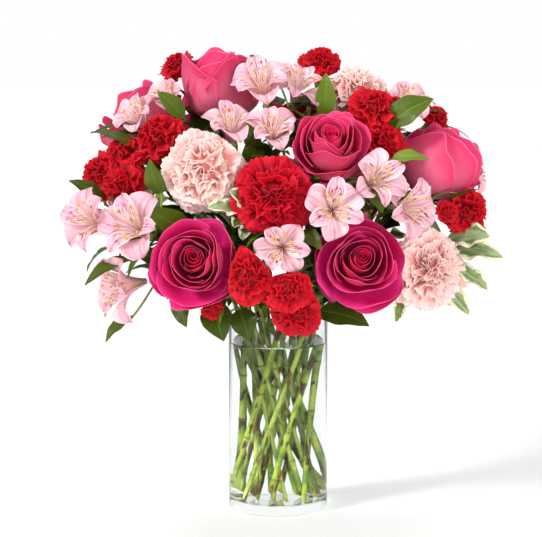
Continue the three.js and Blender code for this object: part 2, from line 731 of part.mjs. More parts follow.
// A tube with its own radius at each point: a slim one, whose rings are then widened.
function tube(points, radii, sides) {
  const slim = 0.1;
  const turns = Array.from({ length: sides }, (_, k) => (2 * Math.PI * k) / sides);
  const corners = turns.map((turn) => new THREE.Vector2(slim * Math.cos(turn), slim * Math.sin(turn)));
  const section = new THREE.Shape(corners);
  const extrudePath = new PointPath(points);
  const geometry = new THREE.ExtrudeGeometry(section, { steps: points.length - 1, extrudePath });
  const position = geometry.getAttribute("position");
  const vertex = new THREE.Vector3();
  for (let i = 0; i < position.count; i++) {
    vertex.fromBufferAttribute(position, i);
    const gaps = points.map((point) => point.distanceTo(vertex));
    const ring = gaps.indexOf(Math.min(...gaps));
    vertex.sub(points[ring]).multiplyScalar(radii[ring] / slim).add(points[ring]);
    position.setXYZ(i, vertex.x, vertex.y, vertex.z);
  }
  return solid(geometry);
}

// The room that a run takes: its tube with a gap all round.
function sleeve({ points, radii, sides }) {
  const margin = GAP / Math.cos(Math.PI / sides);
  const start = points[0].clone().add(points[0].clone().sub(points[1]).setLength(margin));
  return tube([start, ...points.slice(1)], radii.map((radius) => radius + margin), sides);
}

for (const run of RUNS) {
  run.tube = tube(run.points, run.radii, run.sides);
  run.sleeve = sleeve(run);
}

// ---------------------------------------------------------------- leaves

const LEAF_ROWS = [0, 0.45, 1];
const LEAF_ARCH = 0.12; // rise of the middle, as a share of the length
const LEAF_FOLD = 0.25; // rise of the edges, as a share of the half width

function leafBlade({ base, tip, faces, width }) {
  const start = vector(base);
  const along = vector(tip).sub(start);
  const side = direction(faces).cross(along).normalize();
  const up = along.clone().cross(side).normalize();
  const surface = (u, v) => {
    const half = (width / 2) * bend(0, 2, 0, v ** 0.8);
    const rise = LEAF_ARCH * along.length() * 4 * v * (1 - v) + Math.abs(u) * half * LEAF_FOLD;
    return start.clone().addScaledVector(along, v).addScaledVector(side, u * half).addScaledVector(up, rise);
  };
  return blade(surface, 2, LEAF_ROWS);
}

// ---------------------------------------------------------------- vase and water

function vaseSolid() {
  const { radius, height, wall, floor, edge, sides } = VASE;
  const inner = radius - wall;
  const outline = [
    [0, 0], [radius - edge, 0], [radius, edge],
    [radius, height - 1], [radius - wall / 2, height], [inner, height - 1],
    [inner, floor + edge], [inner - edge, floor], [0, floor],
  ];
  return solid(lathe(outline, sides));
}

// The water fills the vase round the stems, which stand in plain holes.
function waterSolid() {
  const { radius, wall, floor, edge, sides } = VASE;
  const [rim, bottom] = [radius - wall - GAP, floor + GAP];
  const outline = [
    [0, bottom], [rim - edge, bottom], [rim, bottom + edge],
    [rim, WATER_LEVEL], [0, WATER_LEVEL],
  ];
  return solid(lathe(outline, sides)).subtract(joined(STEMS.map((stem) => stem.runs[0].sleeve)));
}

// ---------------------------------------------------------------- the bouquet

const material = (colour, roughness, opacity = 1) =>
  new THREE.MeshStandardMaterial({
    color: COLOURS[colour], roughness, metalness: 0, transparent: opacity < 1, opacity,
  });
const PETAL_ROUGHNESS = 0.65;
const LEAF_ROUGHNESS = 0.55;

const bouquet = new THREE.Group();

function add(name, made, finish) {
  const flat = geometryOf(made.simplify(FINEST)).toNonIndexed();
  flat.computeVertexNormals();
  const mesh = new THREE.Mesh(flat, finish);
  mesh.name = name;
  bouquet.add(mesh);
}

add("vase", vaseSolid(), material("glass", 0.04, 0.3));
add("water", waterSolid(), material("water", 0.04, 0.25));

// Heads give way to every stem, cup and stalk that passes through them.
for (const bloom of HEADS) {
  const whole = HEAD_SOLIDS[bloom.stem.kind](bloom);
  const passing = RUNS.map((run) => run.sleeve).filter((room) => boxesMeet(room, whole));
  bloom.solid = largestBody(passing.length ? whole.subtract(joined(passing)) : whole);
}
for (const node of new Set(HEADS.map((bloom) => bloom.node))) {
  const blooms = HEADS.filter((bloom) => bloom.node === node);
  const { kind, colour } = blooms[0].stem;
  add(node, joined(blooms.map((bloom) => bloom.solid)), material(colour ?? kind, PETAL_ROUGHNESS));
}

// Leaves give way to heads, to other plants' stems and to the leaves placed before them.
const placedLeaves = [];
for (const stem of STEMS) {
  const strangers = RUNS.filter((run) => run.stem !== stem).map((run) => run.sleeve);
  const blades = (stem.leaves ?? []).map((plan) => {
    let made = leafBlade(plan);
    const passing = strangers.filter((room) => boxesMeet(room, made));
    if (passing.length) made = made.subtract(joined(passing));
    for (const bloom of HEADS) made = cutAway(made, bloom.solid);
    for (const other of placedLeaves) {
      if (other.stem !== stem) made = cutAway(made, other.made);
    }
    placedLeaves.push({ stem, made });
    return made;
  });
  const plant = largestBody(joined([...stem.runs.map((run) => run.tube), ...blades]));
  add(stem.name + "_stem", plant, material(stem.kind === "shrub" ? "shrub" : "stem", LEAF_ROUGHNESS));
}

export default bouquet;
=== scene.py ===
"""A mixed bouquet of roses, carnations, spray carnations and Peruvian lilies in a glass cylinder vase.

Tables and shapes are in millimetres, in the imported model's frame: +Z up, the viewer at -Y, and the
origin in the middle of the vase's foot. Meshes are scaled to metres when they are made.
"""

import math
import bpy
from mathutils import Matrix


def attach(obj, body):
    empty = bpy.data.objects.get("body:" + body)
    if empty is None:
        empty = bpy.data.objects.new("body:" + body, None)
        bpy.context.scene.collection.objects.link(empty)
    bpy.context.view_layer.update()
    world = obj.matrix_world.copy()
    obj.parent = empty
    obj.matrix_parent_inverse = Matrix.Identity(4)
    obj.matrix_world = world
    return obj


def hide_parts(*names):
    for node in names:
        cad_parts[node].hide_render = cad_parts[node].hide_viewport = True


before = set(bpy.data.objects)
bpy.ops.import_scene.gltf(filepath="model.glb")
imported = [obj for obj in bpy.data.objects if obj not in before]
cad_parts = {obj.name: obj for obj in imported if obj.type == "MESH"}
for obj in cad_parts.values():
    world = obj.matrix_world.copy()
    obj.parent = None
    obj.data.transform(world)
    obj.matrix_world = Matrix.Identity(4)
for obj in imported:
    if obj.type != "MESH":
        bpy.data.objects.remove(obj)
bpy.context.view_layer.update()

from types import SimpleNamespace as Row

import bpy
import numpy as np
from mathutils import Vector

MM = 0.001

# ---- driving dimensions

VASE = Row(radius=50.8, height=203, wall=3.5, floor=10, edge=2.5)
WATER_LEVEL = 171
GAP = 0.35  # between a head and its cup

# Rings of stems in the vase. Each stem leans along a straight line that passes the ring's waist,
# from a foot on the ring to a mouth point on the ring.
RINGS = dict(
    outer=Row(radius=42, waist=27, turn=1),
    middle=Row(radius=31.5, waist=17.5, turn=-1),
    inner=Row(radius=21, waist=7.5, turn=1),
)
FOOT_CLEARANCE = 3  # cut ends stand this far above the vase's floor, or higher

# Each kind of plant: radius of its stem and twigs, and in shares of the head's radius, how deep its
# petals sit below the head's middle, and the radius at the top and bottom and the length of the
# green cup under them.
PLANTS = dict(
    rose=Row(stem=2.9, twig=2.0, depth=0.8, cup=(0.17, 0.1, 0.2)),
    carnation=Row(stem=2.3, twig=1.5, depth=0.6, cup=(0.21, 0.12, 0.72)),
    mini=Row(stem=1.9, twig=1.3, depth=0.6, cup=(0.24, 0.13, 0.7)),
    lily=Row(stem=2.2, twig=1.4, depth=0.7, cup=(0.09, 0.06, 0.22)),
    shrub=Row(stem=1.9, twig=1.3),
)
LEAFSTALK = 1.1  # radius

# ---- the planting


def head(at, facing, radius, turn=0, node=None):
    """A head: its middle, the way that it faces (azimuth from the viewer, elevation), its radius, its
    turn about that facing, and its node where that isn't named after the stem."""
    return Row(node=node, at=np.array(at, float), facing=facing, radius=radius, turn=turn)


def leaf(base, tip, faces, width):
    """A leaf: where its blade starts and ends, the way that its face looks, and its greatest width."""
    return Row(base=np.array(base, float), tip=np.array(tip, float), faces=faces, width=width)


def planted(
    name, kind, ring, azimuth, heads=(), leaves=(),
    fork=None, twigs=(), raised=0, form="open", colour=None,
):
    """A stem: its ring, the azimuth at which it leaves the vase's mouth, its heads and leaves, where a
    spray forks into a twig for each head, its bare twigs' ends, and how far its foot is raised. A
    rose's form is open or goblet, and colour names petals other than the kind's own."""
    for bloom in heads:
        bloom.node = bloom.node or name
    return Row(
        name=name, kind=kind, ring=ring, azimuth=azimuth, heads=heads, leaves=list(leaves),
        fork=fork, twigs=twigs, raised=raised, form=form, colour=colour or kind, runs=[],
    )


# Azimuth 0 is towards the viewer, and 90 to the viewer's right.
STEMS = [
    # Roses.
    planted("rose_top", "rose", "inner", -85, [head((-59, -22, 434), (-165, 80), 46, 10)], form="goblet"),
    planted("rose_left", "rose", "outer", -120, [
        head((-138, 30, 396), (-105, 45), 41, 60),
    ], form="goblet"),
    planted("rose_upper", "rose", "inner", 76, [head((49, -122, 379), (4, 38), 42, 20)]),
    planted("rose_right", "rose", "outer", 85, [
        head((160, -40, 355), (100, 50), 47, 75),
    ], raised=14, form="goblet"),
    planted("rose_lower_left", "rose", "outer", -50, [head((-81, -140, 270), (-8, 8), 47)], [
        leaf((-62, -112, 226), (-52, -134, 194), (-20, 35), 30),
        leaf((-92, -104, 236), (-88, -118, 205), (-40, 10), 22),
        leaf((-38, -116, 222), (-28, -126, 194), (5, 20), 26),
    ]),
    planted("rose_lower_right", "rose", "outer", 5, [head((76, -140, 269), (3, 12), 46, 30)], [
        leaf((38, -116, 220), (86, -130, 208), (5, 40), 32),
        leaf((38, -104, 218), (10, -126, 198), (0, 30), 26),
    ], raised=22),
    planted("rose_back_left", "rose", "outer", -160, [head((-85, 88, 368), (-145, 30), 43)], [
        leaf((-96, 70, 296), (-128, 112, 262), (-140, 30), 34),
    ]),
    planted("rose_back_right", "rose", "outer", 135, [head((72, 112, 325), (152, 14), 44, 50)], [
        leaf((48, 88, 258), (38, 134, 232), (175, 35), 32),
        leaf((92, 80, 258), (124, 112, 238), (130, 35), 30),
    ]),
    # Carnations.
    planted("carnation_left", "carnation", "middle", -64, [
        head((-70, -105, 356), (-18, 22), 44),
    ], raised=9),
    planted("carnation_top", "carnation", "inner", 125, [head((78, -28, 425), (12, 62), 37)]),
    planted("carnation_right", "carnation", "outer", 48, [head((144, -90, 258), (28, -2), 41)]),
    planted("carnation_front", "carnation", "inner", 25, [
        head((-5, -138, 333), (-2, 12), 43),
    ], colour="red_carnation"),
    planted("carnation_back", "carnation", "middle", -150, [
        head((-22, 118, 298), (-170, 8), 43),
    ], raised=16),
    # Sprays of small carnations.
    planted("spray_left", "mini", "middle", -98, [
        head((-101, 5, 452), (-50, 50), 18, node="spray_left_high"),
        head((-117, -62, 384), (-30, 30), 28),
        head((-151, -54, 368), (-45, 35), 24),
        head((-175, -45, 346), (-60, 15), 25),
        head((-150, -72, 337), (-42, 8), 24),
    ], fork=(-78, -30, 312)),
    planted("spray_right", "mini", "middle", 66, [
        head((92, -80, 413), (18, 42), 25, node="spray_right_upper"),
        head((117, -66, 414), (40, 40), 13, node="spray_right_upper"),
        head((101, -88, 380), (25, 20), 24, node="spray_right_upper"),
        head((183, -70, 311), (45, 6), 27),
        head((162, -94, 314), (20, 0), 11),
        head((160, 12, 398), (80, 40), 18, node="spray_right_back"),
    ], fork=(84, -30, 312)),
    planted("spray_front", "mini", "middle", -32, [
        head((-28, -162, 261), (-6, 2), 27),
        head((9, -164, 250), (4, 14), 22.5),
        head((17, -152, 223), (6, -18), 23.5),
        head((-63, -136, 226), (-15, 0), 11, node="spray_front_bud"),
    ], fork=(-6, -84, 244)),
    planted("spray_back", "mini", "middle", 160, [
        head((42, -8, 455), (15, 60), 21, node="spray_back_high"),
        head((30, 82, 398), (165, 40), 27),
        head((-1, -60, 408), (0, 60), 17, node="spray_top"),
    ], fork=(14, 30, 330), raised=6),
    # Sprays of Peruvian lilies.
    planted("lily_left", "lily", "outer", -82, [
        head((-135, -120, 300), (-28, 22), 39, 30),
        head((-178, -94, 304), (-40, 14), 36, 80),
        head((-150, -92, 241), (-62, -8), 40, 30, "lily_low_left"),
        head((-138, -46, 402), (-40, 45), 28, 30, "lily_high_left"),
        head((-109, -37, 419), (-35, 55), 26, 30, "lily_high_left"),
        head((-150, 48, 322), (-108, 8), 36, node="lily_back_left"),
    ], [
        leaf((-138, -62, 372), (-185, -52, 388), (-20, 60), 17),
        leaf((-92, -62, 402), (-118, -64, 428), (-30, 45), 17),
        leaf((-112, -104, 332), (-122, -116, 366), (-20, 20), 20),
        leaf((-140, -90, 268), (-186, -108, 244), (-30, 50), 15),
        leaf((-142, -80, 210), (-168, -92, 186), (-40, 30), 18),
        leaf((-172, -62, 322), (-204, -72, 342), (-40, 40), 17),
        leaf((-150, 62, 372), (-186, 84, 392), (-120, 50), 16),
        leaf((-168, 20, 268), (-198, 30, 240), (-90, 30), 18),
        leaf((-86, -90, 292), (-128, -108, 318), (-20, 25), 24),
        leaf((-98, -82, 258), (-142, -96, 276), (-25, 25), 20),
    ], fork=(-80, -60, 270)),
    planted("lily_front", "lily", "inner", -30, [
        head((-16, -74, 433), (-14, 48), 34, 20, "lily_top"),
        head((18, -59, 432), (22, 50), 30, 30, "lily_top"),
        head((-45, -95, 395), (-10, 52), 31, 20, "lily_upper"),
        head((-6, -107, 391), (6, 42), 30, 10, "lily_upper"),
        head((50, -160, 322), (4, 12), 34, node="lily_middle"),
        head((3, -156, 286), (0, 6), 32, 30, "lily_low"),
    ], [
        leaf((44, -66, 402), (46, -66, 446), (5, 15), 19),
        leaf((22, -140, 300), (40, -158, 284), (10, 20), 15),
        leaf((-4, 20, 440), (-30, 44, 462), (-150, 60), 16),
        leaf((-24, -66, 350), (-20, -84, 392), (-5, 25), 24),
    ], fork=(-8, -52, 316)),
    planted("lily_right", "lily", "middle", 28, [
        head((90, -138, 347), (22, 22), 33, 60),
        head((121, -121, 321), (38, 4), 34, 110),
        head((128, -42, 416), (30, 52), 28, node="lily_high_right"),
        head((193, -8, 350), (80, 12), 28, node="lily_far_right"),
    ], [
        leaf((104, -84, 394), (148, -92, 422), (15, 40), 27),
        leaf((106, -128, 366), (142, -128, 366), (15, 45), 17),
        leaf((84, -146, 338), (96, -160, 318), (20, 20), 14),
    ], fork=(92, -62, 286)),
    planted("lily_back", "lily", "middle", 108, [
        head((142, 66, 340), (115, 14), 36, node="lily_back_right"),
        head((-14, 42, 434), (-175, 62), 35, 30, "lily_back_top"),
    ], [
        leaf((86, 66, 384), (112, 96, 420), (140, 45), 18),
        leaf((-30, 96, 362), (-14, 122, 398), (180, 30), 20),
        leaf((140, 80, 292), (176, 104, 268), (125, 40), 17),
        leaf((-60, 90, 258), (-84, 130, 232), (-150, 30), 18),
    ], fork=(60, 50, 300), raised=10),
    # A branch of variegated shrub.
    planted("shrub", "shrub", "middle", -2, [], [
        leaf((164, -72, 284), (205, -84, 289), (25, 30), 27),
        leaf((168, -74, 272), (218, -86, 268), (25, 35), 28),
        leaf((166, -72, 260), (204, -80, 236), (30, 20), 19),
        leaf((152, -72, 246), (186, -84, 212), (20, 10), 18),
        leaf((120, -76, 232), (114, -92, 206), (10, 10), 12),
        leaf((-38, -128, 316), (-66, -148, 322), (-10, 35), 21),
        leaf((-30, -130, 322), (-46, -150, 338), (-5, 30), 19),
    ], fork=(14, -34, 256), twigs=[(158, -72, 272), (-30, -122, 312)]),
]

# ---- small helpers


def unit(v):
    """A vector, or each row of an array of vectors, at length 1."""
    return v / np.maximum(np.linalg.norm(v, axis=-1, keepdims=True), 1e-9)


def direction(azimuth, elevation):
    a, e = math.radians(azimuth), math.radians(elevation)
    return np.array([math.sin(a) * math.cos(e), -math.cos(a) * math.cos(e), math.sin(e)])


def cubic(points, t):
    """The cubic Bezier curve of four points of any dimension, at each t."""
    t = np.asarray(t)[..., None]
    a, b, c, d = (np.array(p, float) for p in points)
    return a * (1 - t) ** 3 + 3 * b * t * (1 - t) ** 2 + 3 * c * t**2 * (1 - t) + d * t**3


def arch(t):
    """1 in the middle, and 0 at both ends."""
    return 4 * t * (1 - t)


def ease(t):
    """0 below 0, 1 above 1, and smooth between."""
    t = np.clip(t, 0, 1)
    return t * t * (3 - 2 * t)


def spun(radius, angle, height, across=0.0):
    """Points at a radius, angle and height round Z, and moved across that radius."""
    x = radius * np.cos(angle) - across * np.sin(angle)
    y = radius * np.sin(angle) + across * np.cos(angle)
    return np.stack(np.broadcast_arrays(x, y, height), -1)


def grid_of(columns, rows):
    """Across from -1 to 1 and along from 0 to 1, as arrays[row][column]."""
    return np.meshgrid(np.linspace(-1, 1, columns), np.linspace(0, 1, rows))


# ---- heads

SEEDS_PER_STEM = 7

HEADS = []
for stem_order, plant in enumerate(STEMS):
    for order, bloom in enumerate(plant.heads):
        z = direction(*bloom.facing)
        x = unit(np.cross((0, 0, 1), z))
        level = np.stack([x, np.cross(z, x), z], axis=1)
        turn = math.radians(bloom.turn)
        spin = [[math.cos(turn), -math.sin(turn), 0], [math.sin(turn), math.cos(turn), 0], [0, 0, 1]]
        bloom.axis = z
        bloom.rotation = level @ np.array(spin)
        bloom.stem = plant
        bloom.kind = plant.kind
        bloom.seed = order + SEEDS_PER_STEM * stem_order + 1
        HEADS.append(bloom)

# Petals flatten against the plane between a head and each neighbour.
PRESS_FROM = 0.6  # share of the way to that plane at which they start to give
PRESS_GAP = -1.5  # petals' edges may pass the plane by this much, as they interleave

for bloom in HEADS:
    others = [other for other in HEADS if other.node != bloom.node]
    apart = np.array([other.at - bloom.at for other in others])
    distance = np.linalg.norm(apart, axis=1)
    radii = np.array([other.radius for other in others])
    bloom.walls = unit(apart)
    bloom.reach = (distance**2 + bloom.radius**2 - radii**2) / (2 * distance) - PRESS_GAP


def place(bloom, points):
    """Takes points in a head's own frame, in shares of its radius, to their places in the bouquet."""
    offset = (np.asarray(points, float) * bloom.radius) @ bloom.rotation.T
    distance = np.linalg.norm(offset, axis=-1)
    towards = offset @ bloom.walls.T / np.maximum(distance, 1e-9)[..., None]
    room = np.where(towards > 1e-6, bloom.reach / np.maximum(towards, 1e-6), np.inf).min(axis=-1)
    share = distance / room
    rest = 1 - PRESS_FROM
    eased = PRESS_FROM + rest * (1 - np.exp((PRESS_FROM - share) / rest))
    scale = np.where(share > PRESS_FROM, eased / np.maximum(share, 1e-9), 1)
    return offset * scale[..., None] + bloom.at


# ---- the routes of stems and twigs

SINK = 5  # how deep a twig or a blade is rooted in what carries it
LEAVING, ARRIVING = 0.4, 0.35  # how far a bend keeps its first and last heading, in shares of its span
CUP_TAPER = 0.8  # share of a cup's length over which it widens
SPRAY_LEGS, TWIG_LEGS, BARE_TWIG_LEGS, STEM_LEGS = 3, 2, 4, 4  # of their bends

# Every route point is kept here once, so that what is nudged in one run moves in all. Points in the
# vase, at a fork or under a head are held, and the others may be nudged.
POINTS = []
HELD = set()
RUNS = []


def new_points(places):
    """Keeps new route points, and gives their numbers."""
    POINTS.extend(np.array(place, float) for place in places)
    return list(range(len(POINTS) - len(places), len(POINTS)))


def bend_points(start, heading, end, arrival, legs):
    """Points along a smooth bend that leaves start by its heading and arrives at end by another."""
    span = np.linalg.norm(end - start)
    handles = (start, start + heading * span * LEAVING, end - arrival * span * ARRIVING, end)
    return list(cubic(handles, np.linspace(0, 1, legs + 1)))


def planted_line(plant):
    """The straight stretch of a stem in the vase: its foot, its mouth point and its heading."""
    ring = RINGS[plant.ring]
    azimuth = math.radians(plant.azimuth)

    def on_ring(angle, z):
        return np.array([ring.radius * math.sin(angle), -ring.radius * math.cos(angle), z])

    swing = ring.turn * 2 * math.acos(ring.waist / ring.radius)
    foot, mouth = on_ring(azimuth - swing, VASE.floor), on_ring(azimuth, VASE.height)
    heading = unit(mouth - foot)
    return foot + heading * (FOOT_CLEARANCE + plant.raised) / heading[2], mouth, heading


def cup_end(bloom):
    """The points of the cup under a head, from its narrow end up, their radii, and where it starts."""
    plant = PLANTS[bloom.kind]
    seat = place(bloom, (0, 0, -plant.depth))
    top, bottom, length = (share * bloom.radius for share in plant.cup)
    points = [seat - bloom.axis * (GAP + length * CUP_TAPER), seat - bloom.axis * GAP]
    return points, [bottom, top], seat - bloom.axis * (GAP + length)


def add_run(plant, points, radius, bloom=None, leafstalk=False):
    run = Row(stem=plant, points=list(points), radii=[radius] * len(points))
    run.bloom, run.leafstalk = bloom, leafstalk
    if bloom:
        cup_points, cup_radii, _ = cup_end(bloom)
        cup = new_points(cup_points)
        HELD.update(cup)
        run.points += cup
        run.radii += cup_radii
    HELD.update([points[0], run.points[-1]])
    plant.runs.append(run)
    RUNS.append(run)


for plant in STEMS:
    sizes = PLANTS[plant.kind]
    foot, mouth, heading = planted_line(plant)
    base = new_points([foot, mouth])
    HELD.add(base[1])
    if plant.fork:
        fork = np.array(plant.fork, float)
        rise = unit(fork - mouth)
        root = fork - rise * SINK
        route = bend_points(mouth, heading, fork, rise, SPRAY_LEGS)
        add_run(plant, base + new_points(route[1:]), sizes.stem)
        for bloom in plant.heads:
            route = bend_points(root, rise, cup_end(bloom)[2], bloom.axis, TWIG_LEGS)
            add_run(plant, new_points(route), sizes.twig, bloom)
        for end in plant.twigs:
            end = np.array(end, float)
            route = bend_points(root, rise, end, unit(end - root), BARE_TWIG_LEGS)
            add_run(plant, new_points(route), sizes.twig)
    else:
        bloom = plant.heads[0]
        route = bend_points(mouth, heading, cup_end(bloom)[2], bloom.axis, STEM_LEGS)
        add_run(plant, base + new_points(route[1:]), sizes.stem, bloom)
    # Each leafstalk grows from the nearest bend of its own stem or twigs.
    bends = [i for run in plant.runs for i in run.points if i not in HELD and POINTS[i][2] > VASE.height]
    for plan in plant.leaves:
        nearest = min(bends, key=lambda i: np.linalg.norm(POINTS[i] - plan.base))
        blade_start = new_points([plan.base, plan.base + unit(plan.tip - plan.base) * SINK])
        HELD.update(blade_start)
        add_run(plant, [nearest] + blade_start, LEAFSTALK, leafstalk=True)

# Stems, twigs and stalks are nudged apart where those of different plants would cross, and clear of
# the hearts of the heads that they pass.
STEM_ROOM = 1.2  # between two stems
HEART = 0.6  # share of a head's radius
NUDGES = 90
STEM_YIELD = 0.6  # share of what is lacking that one nudge makes up, for each of two stems
HEART_YIELD = 0.4
WATCH = 6  # spans this much further apart than they must be are left alone

PLACES = np.array(POINTS)
FREE = np.array([0.0 if i in HELD else 1.0 for i in range(len(PLACES))])
CENTRES = np.array([bloom.at for bloom in HEADS])
HEARTS = np.array([HEART * bloom.radius for bloom in HEADS])

# A span runs from one point of a run to the next.
SPANS = [(run, i) for run in RUNS for i in range(len(run.points) - 1)]
STARTS = np.array([run.points[i] for run, i in SPANS])
ENDS = np.array([run.points[i + 1] for run, i in SPANS])
RADII = np.array([run.radii[i : i + 2] for run, i in SPANS])
THICKEST = RADII.max(axis=1)
OWNERS = np.array([id(run.stem) for run, _ in SPANS])
FIRST, SECOND = np.triu_indices(len(SPANS), 1)
STRANGERS = OWNERS[FIRST] != OWNERS[SECOND]
FIRST, SECOND = FIRST[STRANGERS], SECOND[STRANGERS]


def closest_shares(p, q, r, s):
    """How far along the spans p-q and r-s, from 0 to 1, the closest points of each pair are."""
    d, e, w = q - p, s - r, p - r
    dd, ee, de = (d * d).sum(-1), (e * e).sum(-1), (d * e).sum(-1)
    dw, ew = (d * w).sum(-1), (e * w).sum(-1)
    bottom = np.maximum(dd * ee - de * de, 1e-12)
    first = np.clip((de * ew - dw * ee) / bottom, 0, 1)
    second = (de * first + ew) / ee
    first = np.where(second < 0, np.clip(-dw / dd, 0, 1), first)
    first = np.where(second > 1, np.clip((de - dw) / dd, 0, 1), first)
    return first, np.clip(second, 0, 1)


def between(a, b):
    """The closest points of spans a and b: how far along each they are, and the way from b's to a's."""
    p, q, r, s = (PLACES[points] for points in (STARTS[a], ENDS[a], STARTS[b], ENDS[b]))
    share_a, share_b = closest_shares(p, q, r, s)
    away = (p + (q - p) * share_a[..., None]) - (r + (s - r) * share_b[..., None])
    return share_a, share_b, away


def push(span, share, shift):
    for point, part in ((STARTS[span], 1 - share), (ENDS[span], share)):
        PLACES[point] += shift * FREE[point] * part


def nudge_pair(a, b):
    share_a, share_b, away = between(a, b)
    radii = RADII[a][0] + (RADII[a][1] - RADII[a][0]) * share_a
    radii = radii + RADII[b][0] + (RADII[b][1] - RADII[b][0]) * share_b
    lack = radii + STEM_ROOM - np.linalg.norm(away)
    if lack > 0:
        shift = unit(away) * lack * STEM_YIELD
        push(a, share_a, shift)
        push(b, share_b, -shift)


def from_heart(span, centre):
    """The closest point of a span to a head: how far along it is, and the way to it from the centre."""
    start = PLACES[STARTS[span]]
    along = PLACES[ENDS[span]] - start
    share = np.clip(((centre - start) * along).sum(-1) / (along * along).sum(-1), 0, 1)
    return share, start + along * share[..., None] - centre


def nudge_from_hearts(span):
    for bloom, heart in zip(HEADS, HEARTS):
        share, away = from_heart(span, bloom.at)
        lack = heart + RADII[span][0] - np.linalg.norm(away)
        if lack > 0 and SPANS[span][0].bloom is not bloom:
            push(span, share, unit(away) * lack * HEART_YIELD)


def near_pairs():
    """Pairs of spans of different plants that come near each other."""
    away = np.linalg.norm(between(FIRST, SECOND)[2], axis=1)
    near = away < THICKEST[FIRST] + THICKEST[SECOND] + STEM_ROOM + WATCH
    return FIRST[near], SECOND[near]


def near_hearts():
    """For each span, whether the heart of some head comes near it."""
    away = np.linalg.norm(from_heart(np.arange(len(SPANS))[:, None], CENTRES)[1], axis=-1)
    return (away < HEARTS + THICKEST[:, None] + WATCH).any(axis=1)


for _ in range(NUDGES):
    first, second = near_pairs()
    hearts = near_hearts()
    for span in range(len(SPANS)):
        for other in second[first == span]:
            nudge_pair(span, other)
        if hearts[span]:
            nudge_from_hearts(span)


def is_planted(run):
    """Whether a run starts at a foot in the vase."""
    return PLACES[run.points[0]][2] < VASE.height / 2


def smooth_route(run, step):
    """A run as a smooth line: its points about a step apart, their headings and radii, and how far
    along the run they are. In the vase the line is straight."""
    knots = PLACES[run.points]
    legs = np.diff(knots, axis=0)
    lengths = np.linalg.norm(legs, axis=1)
    headings = unit(legs)
    tangents = unit(np.vstack([headings[:1], headings[:-1] + headings[1:], headings[-1:]]))
    if is_planted(run):
        tangents[1] = headings[0]
    points, radii, travelled = [], [], []
    for i, length in enumerate(lengths):
        start, end = knots[i], knots[i + 1]
        count = max(2, int(round(length / step)))
        t = np.linspace(0, 1, count + 1)[: None if i == len(lengths) - 1 else -1]
        handles = (start, start + tangents[i] * length / 3, end - tangents[i + 1] * length / 3, end)
        points.append(cubic(handles, t))
        radii.append(run.radii[i] + (run.radii[i + 1] - run.radii[i]) * t)
        travelled.append(lengths[:i].sum() + length * t)
    points = np.vstack(points)
    return points, unit(np.gradient(points, axis=0)), np.concatenate(radii), np.concatenate(travelled)


# ---- growing meshes

SHARP = math.radians(55)  # a petal's rim is sharp, and its ruffles are smooth


def add_object(name, data, location=(0, 0, 0), rotation=(0, 0, 0)):
    obj = bpy.data.objects.new(name, data)
    obj.location = location
    obj.rotation_euler = rotation
    bpy.context.scene.collection.objects.link(obj)
    return obj


